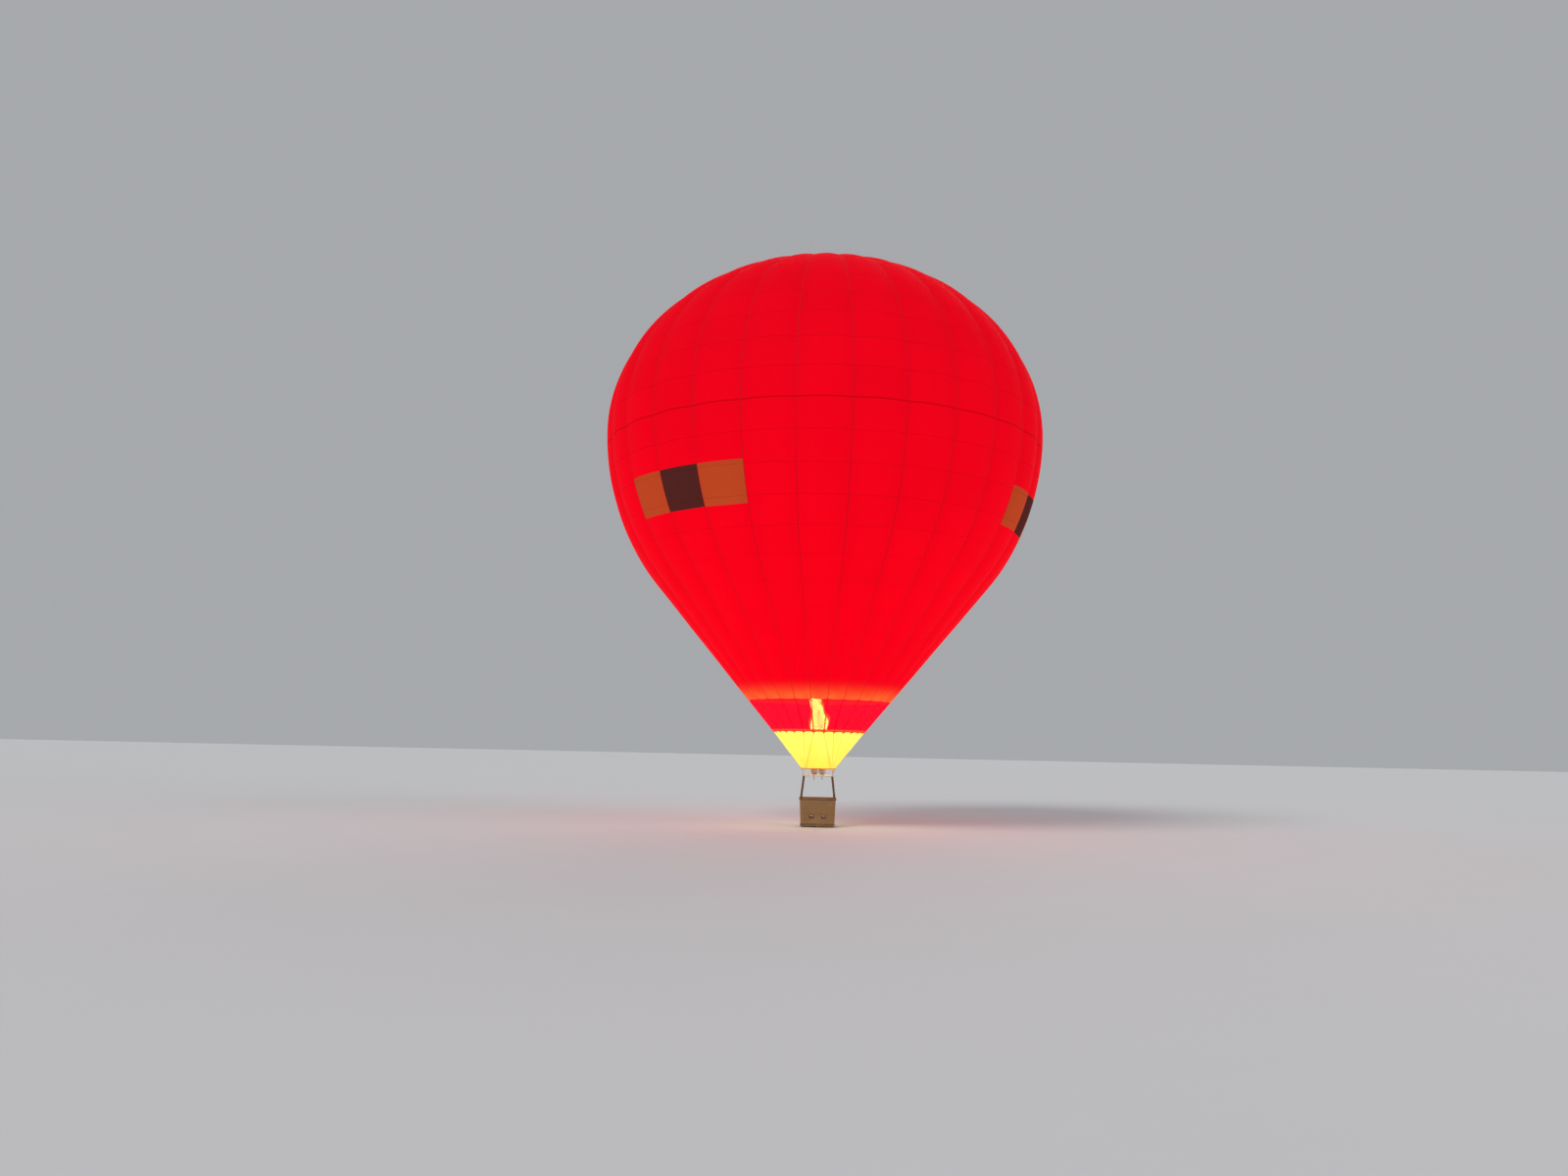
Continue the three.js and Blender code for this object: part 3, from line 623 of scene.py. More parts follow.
def glowing_cloth(name, dyed, glow, strength=0.9, low_glow=None, cover=1.0):
    """Ripstop cloth with its light from inside painted on as a glow, darker where seams and tapes double it:
    painted shade in the glow there, and a darker dyed colour.
    """
    cloth = Finish(name, Roughness=0.75, Specular_IOR_Level=0.02, Emission_Strength=strength)
    cloth.set("Alpha", cover)
    seam, arc, gore = cloth.value("cloth")
    level = arc.level_lines(PANEL_TOP, PANEL_H).near(0.010, 0.008)
    strong = (arc - STRONG_SEAM).near(0.02, 0.015)
    doubled = seam.near(0.016, 0.012).highest(level * 0.7).highest(strong * 1.3)
    # painted shade: how much the glow dims over doubled cloth, less towards the mouth
    shown = 0.42 - arc.smooth(14.0, 25.0) * 0.27
    panel = ((arc - PANEL_TOP) / PANEL_H).math("FLOOR")
    cell = cloth.join((gore + 0.5).math("FLOOR"), panel, 0.0)
    shade = cloth.node("ShaderNodeTexWhiteNoise", {"noise_dimensions": "3D"}, {"Vector": cell})
    # painted shading of small folds in the glow, strongest at the mouth and at the vent
    folds = cloth.noise(1.0, 3.0, cloth.join(gore * 7.0, arc * 0.7, 0.0)) - 0.5
    gathered = 0.04 + arc.smooth(17.0, 28.0) * 0.1 + (1 - arc.smooth(2.4, 5.0)) * 0.08
    # painted glow: brighter towards the mouth, nearer the flame, a little uneven from panel to panel, with
    # painted fold shading and painted shade beside the seams
    bright = 0.52 + shade * 0.03 + cloth.noise(0.35) * 0.1 + arc.smooth(6.0, 24.0) * 0.35
    bright = (bright + folds * gathered) * (seam.smooth(0.0, 0.6) * 0.04 + 0.96)
    lit = cloth.mix(bright, (0, 0, 0), glow)
    # painted light of the flame: an orange glow on the cloth just above the mouth band
    if low_glow:
        flame = arc.smooth(BAND_ARC - 1.15, BAND_ARC) * (1 - arc.smooth(BAND_ARC, BAND_ARC + 0.02))
        uneven = cloth.noise(1.7, 2.0).smooth(0.25, 0.75) * 0.35 + 0.65
        lit = cloth.mix(flame * flame * uneven, lit, low_glow)
    # emission colour: the painted glow, with painted shade over doubled cloth
    cloth.set("Emission Color", cloth.mix(doubled * shown, lit, darker(glow, 0.33)))
    worn = cloth.mix(cloth.noise(0.8, 4.0) * 0.35, dyed, darker(dyed, 0.7))
    cloth.set("Base Color", cloth.mix(doubled * 0.5, worn, darker(dyed, 0.5)))
    across, along = (value.level_lines(0, 0.012).near(0.001, 0.002) for value in (seam, arc))
    threads = across.highest(along)
    cloth.bump(threads * 0.02 + cloth.noise(2.2, 5.0) + doubled * 0.12, 0.02, 0.35)
    return cloth.material


def skirt_cloth():
    """Heat-resistant cloth with the flame's light painted on as a glow, darker along its seams, where the
    glow carries painted shade.
    """
    cloth = Finish("skirt cloth", Roughness=0.6, Specular_IOR_Level=0.25, Emission_Strength=1.0)
    seam, height, _ = cloth.value("cloth")
    seams = seam.near(0.010, 0.008)
    cloud = cloth.noise(1.6, 4.0)
    # painted glow of the flame: orange low down, yellower higher up, with a pale yellow cloud
    warm = cloth.mix(height.smooth(2.3, 4.1), (1.0, 0.62, 0.05), (1.0, 0.86, 0.11))
    warm = cloth.mix(cloud.smooth(0.3, 0.8) * 0.5, warm, (1.0, 0.9, 0.2))
    # painted shade along the seams, in the glow
    cloth.set("Emission Color", cloth.mix(seams * 0.5, warm, (0.55, 0.25, 0.01)))
    cloth.set("Base Color", cloth.mix(cloud * 0.4, (0.8, 0.56, 0.06), (0.7, 0.42, 0.03)))
    folds = cloth.noise(3.0, 4.0, cloth.stretched(3, 3, 0.6))
    cloth.bump(folds + seams * 0.2, 0.02, 0.5)
    return cloth.material


def flame_light(name, strength, middle, tip, cover):
    """Burning gas: dim blue at the jets, and ragged towards its tips."""
    fire = Finish(name, Base_Color=(0, 0, 0), Roughness=1.0, Specular_IOR_Level=0.0)
    fire.set("Emission Strength", strength)
    height = (fire.split(fire.places())[2] - FLAME_FOOT_Z) / FLAME_H
    licks = fire.noise(2.4, 3.0, fire.stretched(2.4, 2.4, 1.0))
    jets = [(0.0, (0.003, 0.01, 0.05)), (0.03, (0.04, 0.03, 0.03))]
    hot = height + (licks - 0.5) * height.smooth(0.0, 0.5) * 0.5
    fire.set("Emission Color", fire.ramp(hot, *jets, (0.09, tip), (0.3, middle), (0.7, middle), (1.0, tip)))
    ragged = fire.noise(6.0, 2.0, fire.stretched(6.0, 6.0, 2.2)).smooth(0.3, 0.7) * 0.5 + 0.5
    fire.set("Alpha", (1 - height.smooth(0.78, 1.0) * 0.8) * ragged * cover)
    return fire.material


def webbing(name, colour, glow=None, low_glow=None):
    """Polyester webbing with a fine diagonal weave, which may carry a painted glow, brighter towards the
    mouth.
    """
    tape = Finish(name, Roughness=0.75, Specular_IOR_Level=0.2)
    x, y, z = tape.split(tape.places())
    tape.bump(((z + x * 0.5 + y * 0.5) * 420.0).math("SINE"), 0.0006, 0.6)
    tape.set("Base Color", tape.mix(tape.noise(9.0) * 0.5, colour, darker(colour, 0.6)))
    if glow:
        # painted glow of the light inside the envelope, brighter towards the mouth
        low = 1 - z.smooth(MOUTH_Z, MOUTH_Z + 9)
        tape.set("Emission Color", tape.mix(low, glow, low_glow or glow))
        tape.set("Emission Strength", 1.0)
    return tape.material


def steel(name, colour, rough=0.32, brush=(4, 4, 260), worn=0.25):
    """Brushed or drawn metal with handling marks."""
    metal = Finish(name, Metallic=0.95)
    grain = metal.noise(3.0, 4.0, metal.stretched(*brush))
    smudge = metal.noise(14.0, 4.0)
    metal.set("Roughness", rough + grain * 0.16 + smudge * 0.12)
    metal.set("Base Color", metal.mix(smudge.smooth(0.45, 0.75) * worn, colour, darker(colour, 0.55)))
    metal.bump(grain, 0.0004, 0.4)
    return metal.material


def heated_steel(name):
    """Stainless tube that the flame has tinted straw, brown and blue towards its top."""
    metal = Finish(name, Metallic=0.95)
    z = metal.split(metal.places())[2]
    height = (z - FRAME_Z - 0.1) / 0.34 + metal.noise(16.0) * 0.5 - 0.25
    cool = [(0.0, (0.62, 0.58, 0.52)), (0.4, (0.55, 0.42, 0.22)), (0.65, (0.3, 0.17, 0.13))]
    metal.set("Base Color", metal.ramp(height, *cool, (0.85, (0.14, 0.15, 0.26)), (1.0, (0.09, 0.09, 0.1))))
    soot = metal.noise(40.0, 4.0)
    metal.set("Roughness", 0.3 + soot * 0.3)
    metal.bump(soot, 0.0006, 0.4)
    return metal.material


def leather(name, colour):
    """Soft suede with pores, scuffs along what stands proud, and darker hollows."""
    hide = Finish(name, Specular_IOR_Level=0.25)
    cells = {"Vector": hide.places(), "Scale": 330.0}
    pores = hide.node("ShaderNodeTexVoronoi", {"feature": "DISTANCE_TO_EDGE"}, cells)
    creases = hide.noise(26.0, 6.0)
    scuff = hide.noise(7.0, 5.0).smooth(0.5, 0.72)
    light = tuple(min(1, 1.9 * c + 0.03) for c in colour)
    mottled = hide.mix(creases * 0.6, colour, darker(colour, 0.55))
    hide.set("Base Color", hide.mix(scuff * 0.4, mottled, light))
    hide.set("Roughness", 0.66 + creases * 0.25)
    hide.bump(pores * 0.5 + creases, 0.0016, 0.55)
    return hide.material


def cane(name):
    """Split cane: each strand has its own tone, with fibres along it, painted shade where a strand goes
    behind a stake and painted shade in the gaps between canes.
    """
    straw = Finish(name, Specular_IOR_Level=0.35)
    shade, lit_share, along = straw.value("strand")
    z = straw.split(straw.places())[2]
    # painted shade in the gaps between the canes, also a groove in the bump
    shaded_gap = z.level_lines(WICKER_FOOT + 0.012, WEAVE_PITCH / 3).near(0.0004, 0.0014)
    fibres = straw.noise(5.0, 4.0, straw.join(along * 30, shade * 90, lit_share * 40))
    tone = straw.mix(shade, (0.5, 0.27, 0.1), (0.72, 0.47, 0.21))
    tone = straw.mix(fibres.smooth(0.35, 0.7) * 0.4, tone, (0.25, 0.12, 0.045))
    # painted shade where a strand goes in behind a stake
    tone = straw.mix((1 - lit_share) * 0.55, tone, (0.12, 0.06, 0.025))
    straw.set("Base Color", straw.mix(shaded_gap * 0.6, tone, (0.1, 0.05, 0.02)))
    straw.set("Roughness", 0.42 + fibres * 0.3)
    straw.bump(fibres * 0.3 - shaded_gap, 0.0016, 0.7)
    return straw.material


def plywood(name, colour):
    wood = Finish(name, Specular_IOR_Level=0.3)
    rings = wood.noise(2.2, 6.0, wood.stretched(14, 1.6, 14)).smooth(0.35, 0.7)
    grain = wood.noise(12.0, 3.0, wood.stretched(60, 2, 60))
    wood.set("Base Color", wood.mix(rings * 0.55 + grain * 0.25, colour, darker(colour, 0.5)))
    wood.set("Roughness", 0.45 + grain * 0.3)
    wood.bump(grain, 0.0008, 0.4)
    return wood.material


def jacket_cloth(name, colour):
    """Coarse nylon of the padded cylinder jackets."""
    nylon = Finish(name, Roughness=0.8, Specular_IOR_Level=0.3)
    x, y, z = nylon.split(nylon.places())
    weave = (z * 1400.0).math("SINE") * ((x + y) * 1400.0).math("SINE")
    crease = nylon.noise(9.0, 4.0)
    nylon.bump(weave * 0.15 + crease, 0.003, 0.5)
    nylon.set("Base Color", nylon.mix(crease * 0.6, colour, darker(colour, 0.5)))
    return nylon.material


def plain(name, colour, rough):
    """A moulded or painted small part, with a little unevenness."""
    part = Finish(name)
    spots = part.noise(60.0, 4.0)
    part.set("Base Color", part.mix(spots * 0.35, colour, darker(colour, 0.65)))
    part.set("Roughness", rough - 0.08 + spots * 0.2)
    part.bump(spots, 0.0004, 0.3)
    return part.material


def pale_floor(name):
    floor = Finish(name, Roughness=0.9, Specular_IOR_Level=0.1)
    floor.set("Base Color", floor.mix(floor.noise(0.4, 4.0) * 0.15, (0.62, 0.62, 0.63), (0.55, 0.55, 0.56)))
    return floor.material


LOOKS = {
    # the ripstop, tape, skirt and hem finishes carry a painted glow of the light inside the envelope
    "red": glowing_cloth("red ripstop", (0.32, 0.0, 0.006), (0.96, 0.0, 0.008), low_glow=(1.0, 0.16, 0.03)),
    "band": glowing_cloth("mouth band", (0.34, 0.0, 0.01), (0.98, 0.0, 0.022), 1.05, cover=0.66),
    "flame": flame_light("flame core", 14.0, (1.0, 0.8, 0.17), (1.0, 0.5, 0.05), 1.0),
    "flame_skin": flame_light("flame skin", 3.5, (1.0, 0.4, 0.03), (1.0, 0.22, 0.01), 0.4),
    "ochre": glowing_cloth("ochre ripstop", (0.2, 0.035, 0.008), (0.5, 0.05, 0.014)),
    "charcoal": glowing_cloth("charcoal ripstop", (0.03, 0.016, 0.014), (0.08, 0.008, 0.007)),
    "tape": webbing("load tape webbing", (0.3, 0.0, 0.01), (0.33, 0.0, 0.004), (0.74, 0.0, 0.006)),
    "skirt": skirt_cloth(),
    "skirt_hem": webbing("skirt hem", (0.6, 0.16, 0.01), (0.33, 0.07, 0.004)),
    "steel": steel("stainless steel", (0.62, 0.61, 0.59)),
    "rope": steel("wire rope", (0.5, 0.5, 0.5), 0.4, (900, 900, 300)),
    "alloy": steel("machined alloy", (0.6, 0.61, 0.63), 0.38, (120, 120, 6), 0.15),
    "coil": heated_steel("heat tinted tube"),
    "brass": steel("brass fittings", (0.7, 0.5, 0.2), 0.3, (40, 40, 40)),
    "grip": plain("red grip", (0.45, 0.02, 0.015), 0.5),
    "rim": leather("suede", (0.2, 0.1, 0.045)),
    "sleeve": leather("sleeve leather", (0.16, 0.07, 0.03)),
    "cuff": leather("cuff leather", (0.07, 0.035, 0.02)),
    "thong": leather("leather thong", (0.36, 0.2, 0.09)),
    "thread": plain("waxed thread", (0.6, 0.5, 0.34), 0.8),
    "cane": cane("woven cane"),
    "ply": plywood("varnished plywood", (0.5, 0.32, 0.16)),
    "jacket": jacket_cloth("cylinder jacket", (0.03, 0.045, 0.075)),
    "strap": webbing("cylinder strap", (0.02, 0.02, 0.022)),
    "floor": pale_floor("pale floor"),
}


# Geometry Nodes


class Growth(Nodes):
    """A Geometry Nodes tree with named inputs."""

    def __init__(self, name, **inputs):
        self.tree = bpy.data.node_groups.new(name, "GeometryNodeTree")
        self.inputs = inputs
        face = self.tree.interface
        for way in ("INPUT", "OUTPUT"):
            face.new_socket("Geometry", in_out=way, socket_type="NodeSocketGeometry")
        for label, value in inputs.items():
            kind = {int: "Int", float: "Float"}.get(type(value), "Material")
            face.new_socket(label, in_out="INPUT", socket_type=f"NodeSocket{kind}")
        self.start = self.tree.nodes.new("NodeGroupInput")

    def given(self, label="Geometry"):
        return Flow(self.tree, self.start.outputs[label])

    def swept(self, curve, section):
        values = {"Curve": curve, "Profile Curve": section, "Fill Caps": True}
        return self.node("GeometryNodeCurveToMesh", values=values)

    def mesh(self, name, shape, seed=None):
        """The tree's result on a mesh, realized, with its material, as a plain mesh."""
        whole = self.node("GeometryNodeRealizeInstances", values={"Geometry": shape})
        values = {"Geometry": whole, "Material": self.given("Material")}
        dressed = self.node("GeometryNodeSetMaterial", values=values)
        self.tree.links.new(dressed.socket, self.tree.nodes.new("NodeGroupOutput").inputs[0])
        carrier = link(name + "_carrier", seed or bpy.data.meshes.new(name))
        growth = carrier.modifiers.new("growth", "NODES")
        growth.node_group = self.tree
        for item in self.tree.interface.items_tree:
            if item.in_out == "INPUT" and item.name in self.inputs:
                growth[item.identifier] = self.inputs[item.name]
        view = bpy.context.evaluated_depsgraph_get()
        made = bpy.data.meshes.new_from_object(carrier.evaluated_get(view), depsgraph=view)
        made.name = name
        bpy.data.objects.remove(carrier)
        return finish_mesh(made, "")


# Envelope


def declare_cloth(gores, start, end, area=None):
    """Works out the area of a sheet cut as gores between two arcs, and does nothing with it."""
    area = area or cut_area(gores, start, end)


def folded_cloth(arcs, gores, mask=None):
    """A shell of cloth with its small folds, over the cells of mask."""
    folds = cloth_folds(arcs + 0 * gores, gores + 0 * arcs)
    outer, inner = (on_cloth(arcs, gores, lift, folds) for lift in (0, -CLOTH))
    return Stock().shell(outer, inner, mask=mask, cloth=cloth_values(arcs, gores))


def build_envelope():
    """Four quarters with a space for each coloured panel, and the panels."""
    arcs = stations(VENT_ARC, BLOCK_TOP_ARC, BLOCK_FOOT_ARC, BAND_ARC)[:, None]
    mid_arc = (arcs[1:] + arcs[:-1]) / 2
    belt = (mid_arc > BLOCK_TOP_ARC) & (mid_arc < BLOCK_FOOT_ARC)
    for index, (quarter, centre) in enumerate(QUARTERS.items()):
        gores = gore_columns(centre - QUARTER_GORES / 2, centre + QUARTER_GORES / 2)
        mid_gore = (gores[:, 1:] + gores[:, :-1]) / 2
        mask = np.ones((mid_arc.size, mid_gore.size), bool)
        inlaid = [gore for _, gore, _ in blocks() if quarter_of(gore) == index]
        for gore in inlaid:
            near = centre + (gore - centre + GORES // 2) % GORES - GORES // 2
            mask &= ~(belt & (np.abs(mid_gore - near) < 0.5))
        cloth = folded_cloth(arcs, gores, mask)
        cloth = cloth.piece(f"cloth_{quarter}", "red", "envelope_red", f"envelope_{quarter}")
        area = cut_area(QUARTER_GORES, VENT_ARC, BAND_ARC)
        area -= cut_area(len(inlaid), BLOCK_TOP_ARC, BLOCK_FOOT_ARC)
        declare_cloth(QUARTER_GORES, VENT_ARC, BAND_ARC, area)
    arcs = stations(BLOCK_TOP_ARC, BLOCK_FOOT_ARC)[:, None]
    for name, gore, colour in blocks():
        panel = folded_cloth(arcs, gore_columns(gore - 0.5, gore + 0.5))
        panel = panel.piece(f"cloth_{name}", colour, f"panel_{colour}", name)
        quarter = list(QUARTERS)[quarter_of(gore)]
        declare_cloth(1, BLOCK_TOP_ARC, BLOCK_FOOT_ARC)


def build_mouth_band():
    """The lowest band, with arches between the tapes and a bound edge along them."""
    gores = gore_columns(-0.5, GORES - 0.5)[:, :-1]
    across = gores - np.round(gores)
    arch = np.sqrt(np.clip(1 - (2 * across) ** 2, 0, 1)) * SCALLOP / math.cos(CONE_HALF_ANGLE)
    arcs = BAND_ARC + (MOUTH_ARC - arch - BAND_ARC) * np.linspace(0, 1, 9)[:, None] ** 0.8
    outer, inner = (on_cloth(arcs, gores, lift) for lift in (0, -CLOTH))
    values = cloth_values(arcs, gores)
    stock = Stock().shell(outer, inner, wrap=True, cloth=values)
    arcs = arcs[-1:] + np.array([-0.028, -0.014, 0.003])[:, None]
    outer = on_cloth(arcs, gores, np.array([0.0012, 0.0052, 0.0032])[:, None])
    values = values[:3] * 0 + values[-1:]
    stock.shell(outer, on_cloth(arcs, gores, -CLOTH - 0.001), 1, wrap=True, cloth=values)
    cloth = stock.piece("mouth_cloth", "band tape", "envelope_red", "mouth_band")
    declare_cloth(GORES, BAND_ARC, MOUTH_ARC)


def build_valve():
    """The parachute valve's disc, on its own body."""
    gores = gore_columns(-0.5, GORES - 0.5)[:, :-1]
    arcs = np.concatenate([[0.02], stations(0.12, VALVE_ARC)])[:, None]
    outer, inner = (on_cloth(arcs, gores, lift) for lift in (-VALVE_UNDER, -VALVE_UNDER - CLOTH))
    outer[0], inner[0] = outer[0].mean(0), inner[0].mean(0)
    stock = Stock().shell(outer, inner, wrap=True, cloth=cloth_values(arcs, gores))
    mesh = stock.mesh("valve_cloth", "red")
    clean = bmesh.new()
    clean.from_mesh(mesh)
    bmesh.ops.remove_doubles(clean, verts=clean.verts, dist=1e-5)
    bmesh.ops.dissolve_degenerate(clean, edges=clean.edges, dist=1e-6)
    clean.to_mesh(mesh)
    clean.free()
    valve = place("valve_cloth", mesh, "valve", "parachute_valve")


def build_load_tapes():
    """One tape down a seam from the crown ring to the mouth, grown round to all the seams."""
    arcs = np.concatenate([[0.135], stations(0.3, MOUTH_ARC + 0.02)])
    lift = 0.0012 + 0.0026 * (arcs < VENT_ARC + 0.25)
    half_gore = TURN / GORES / 2
    line = on_cloth(arcs, 0.5, lift) @ np.array(Matrix.Rotation(-half_gore, 3, "Z")).T
    seed = bpy.data.meshes.new("tape_line")
    seed.from_pydata(line.tolist(), [(i, i + 1) for i in range(len(line) - 1)], [])
    growth = Growth("tapes", Material=LOOKS["tape"], Gores=GORES, Width=TAPE_W, Thickness=TAPE_THICK)
    curve = growth.node("GeometryNodeMeshToCurve", values={"Mesh": growth.given()})
    values = {"Curve": curve, "Normal": (1.0, 0.0, 0.0)}
    curve = growth.node("GeometryNodeSetCurveNormal", {"mode": "FREE"}, values)
    values = {"Width": growth.given("Width"), "Height": growth.given("Thickness")}
    tape = growth.swept(curve, growth.node("GeometryNodeCurvePrimitiveQuadrilateral", values=values))
    spots = growth.node("GeometryNodePoints", values={"Count": growth.given("Gores")})
    turn = growth.node("GeometryNodeInputIndex") * (TURN / GORES)
    angle = growth.node("ShaderNodeCombineXYZ", values={"Z": turn})
    values = {"Points": spots, "Instance": tape, "Rotation": angle}
    mesh = growth.mesh("load_tapes", growth.node("GeometryNodeInstanceOnPoints", values=values), seed)
    mesh.transform(Matrix.Rotation(half_gore, 4, "Z"))
    place("load_tapes", mesh)


def build_crown():
    """The ring that the tapes are sewn round, and the fold of each tape over it."""
    low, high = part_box("crown_ring")
    ring_r, thick = high[0] - 0.012, 0.010
    middle = (low[2] + high[2]) / 2
    stock = Stock().tube(hoop((0, 0, middle), ring_r, 96), thick, 14, closed=True)
    stock.piece("crown_ring_round", "alloy", "crown_alloy", "crown_ring")
    stock = Stock()
    tape_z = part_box("crown_tapes")[1][2]
    fold, half_tape = thick + 0.0016, 0.0007
    bend = np.linspace(0.5, -1.0, 10)[:, None] * math.pi
    for angle in (np.arange(GORES) + 0.5) / GORES * TURN:
        out, side = bearing(angle - TURN / 4), bearing(angle)
        loop = out * (ring_r - fold * np.cos(bend)) + Z_AXIS * (middle + fold * np.sin(bend))
        ends = [(0.12, -0.006), (0.06, -0.004), (0.012, -0.011), (0.082, -0.015)]
        ends = [out * (ring_r + reach) + Z_AXIS * (tape_z + rise) for reach, rise in ends]
        line = np.array([*ends[:2], *loop, *ends[2:]])
        normals = np.cross(np.gradient(line, axis=0), side)
        normals *= half_tape / np.linalg.norm(normals, axis=1)[:, None]
        edges = np.stack([line - side * LOOP_HALF, line + side * LOOP_HALF], 1)
        stock.shell(edges + normals[:, None], edges - normals[:, None])
    stock.piece("crown_loops", "tape", "load_tape", "crown_tapes")


# Skirt


def corner_at(gore):
    """The wires' corner that a place round the mouth leads to, moving across the middle of each side."""
    turns = [0, 0.5, 6.5, 7.5, 13.5, 14.5, 20.5, 21.5, 27.5, 28]
    xs = np.interp(gore % GORES, turns, [0, 1, 1, 1, 1, -1, -1, -1, -1, 0])
    ys = np.interp(gore % GORES, turns, [-1, -1, -1, 1, 1, 1, 1, -1, -1, -1])
    return np.stack([xs, ys], -1)


def skirt_point(share, gore, inside):
    """A point of the skirt. share is 0 at its upper edge, 1 at the mouth and 2 at the wires' corners."""
    share, gore, inside = np.broadcast_arrays(share, gore, inside)
    top = on_cloth(SKIRT_ARC + (MOUTH_ARC - SKIRT_ARC) * np.minimum(share, 1), gore, -inside)
    corner = corner_at(gore) * (ANCHOR_HALF - 0.012 - inside[..., None])
    corner = np.concatenate([corner, np.full((*gore.shape, 1), ANCHOR_Z)], -1)
    down = np.clip(share - 1, 0, 1)[..., None]
    point = top * (1 - down) + corner * down
    across = gore - np.round(gore)
    billow = 0.012 * (np.cos(across * TURN) - 1) + 0.006 * np.sin(gore * 5.3 + share * 7)
    length = np.linalg.norm(point[..., :2], axis=-1)
    point[..., :2] *= (1 + billow * np.sin(down[..., 0] * math.pi) / length)[..., None]
    return point


def build_skirt():
    """The skirt inside the wires, with its lower edge bound and cut up a little at the corners."""
    gores = gore_columns(-0.5, GORES - 0.5)[:, :-1]
    half = QUARTER_GORES / 2
    side = np.abs((gores + half) % QUARTER_GORES - half) / half
    foot_z = SKIRT_FOOT_Z + 0.02 * np.clip((side - 0.62) / 0.38, 0, 1) ** 2
    foot = 1 + (MOUTH_Z - foot_z) / (MOUTH_Z - ANCHOR_Z)
    rows = np.concatenate([[0, 0.5], np.linspace(1, 2, 28)])[:, None]
    share = np.minimum(rows, 1) + np.clip(rows - 1, 0, 1) * (foot - 1)
    outer, inner = (skirt_point(share, gores, inside) for inside in (SKIRT_UNDER, SKIRT_UNDER + CLOTH))
    across = np.abs(gores - np.round(gores)) + 0 * share
    width = np.linalg.norm(outer[..., :2], axis=-1) * TURN / GORES
    values = np.stack([(0.5 - across) * width, outer[..., 2] - GROUND, gores + 0 * share], -1)
    stock = Stock().shell(outer, inner, wrap=True, cloth=values)
    hem = foot + np.array([-0.020, -0.010, 0.001])[:, None]
    outer = skirt_point(hem, gores, np.array([0.011, 0.0085, 0.0105])[:, None])
    stock.shell(outer, skirt_point(hem, gores, 0.0175), 1, wrap=True, cloth=values[-3:])
    cloth = stock.piece("skirt_cloth", "skirt skirt_hem", "skirt_yellow", "skirt")


# Rigging


def corner_axes(sx, sy):
    """Outwards at a corner, and across it."""
    outward = np.array([sx, sy, 0]) / math.sqrt(2)
    return outward, np.cross(Z_AXIS, outward)


def build_wires():
    """Wire ropes from the tapes to the pin of each corner, each with a swaged sleeve at both ends."""
    for corner, (name, (sx, sy)) in enumerate(CORNERS.items()):
        foot = np.array([sx * ANCHOR_HALF, sy * ANCHOR_HALF, ANCHOR_Z])
        outward, across = corner_axes(sx, sy)
        pin = [foot + across * t for t in (-0.0315, -0.029, 0.029, 0.0315)]
        stock = Stock().tube(pin, [0.007, 0.009, 0.009, 0.007], 16)
        link_ring = hoop(foot - Z_AXIS * 0.018, 0.018, 40, outward, Z_AXIS)
        stock.tube(link_ring, 0.005, 12, closed=True)
        for k in range(QUARTER_GORES):
            start = foot + across * 0.009 * (k - QUARTER_GORES // 2)
            top = on_cloth(MOUTH_ARC, QUARTER_GORES * corner + k + 0.5, -0.005)
            way = unit(start - top)
            top = top + way * 0.0008
            stock.tube([start, top], 0.0024, look=1)
            stock.tube([start - way * 0.012, start - way * 0.05], 0.0042, 12)
            stock.tube([top + way * 0.02, top + way * 0.06], 0.0042, 12)
        stock.piece(f"wire_ropes_{name}", "steel rope", "wire_steel", f"wires_{name}")


def build_karabiners():
    """Forged loops with a screw sleeve over the gate."""
    bend = 0.008
    for name, (sx, sy) in CORNERS.items():
        low, high = np.array(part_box(f"karabiner_{name}"))
        centre = (low + high) / 2
        rise = (high[2] - low[2]) / 2 - KARABINER_BAR_R - bend
        across = corner_axes(sx, sy)[1]
        path = []
        for quarter, (cx, cz) in enumerate([(0.009, rise), (-0.009, rise), (-0.009, -rise), (0.009, -rise)]):
            for angle in (quarter + np.linspace(0, 1, 7)) * TURN / 4:
                turn = (cx + bend * math.cos(angle), cz + bend * math.sin(angle))
                path.append(centre + across * turn[0] + Z_AXIS * turn[1])
        gate = centre + across * 0.017
        stock = Stock().tube(path, KARABINER_BAR_R, 12, closed=True)
        stock.tube([gate - Z_AXIS * 0.014, gate + Z_AXIS * 0.014], 0.0078, 16, look=1)
        stock.piece(f"forged_karabiner_{name}", "steel alloy", "wire_steel", f"karabiner_{name}")


# Frame and burners


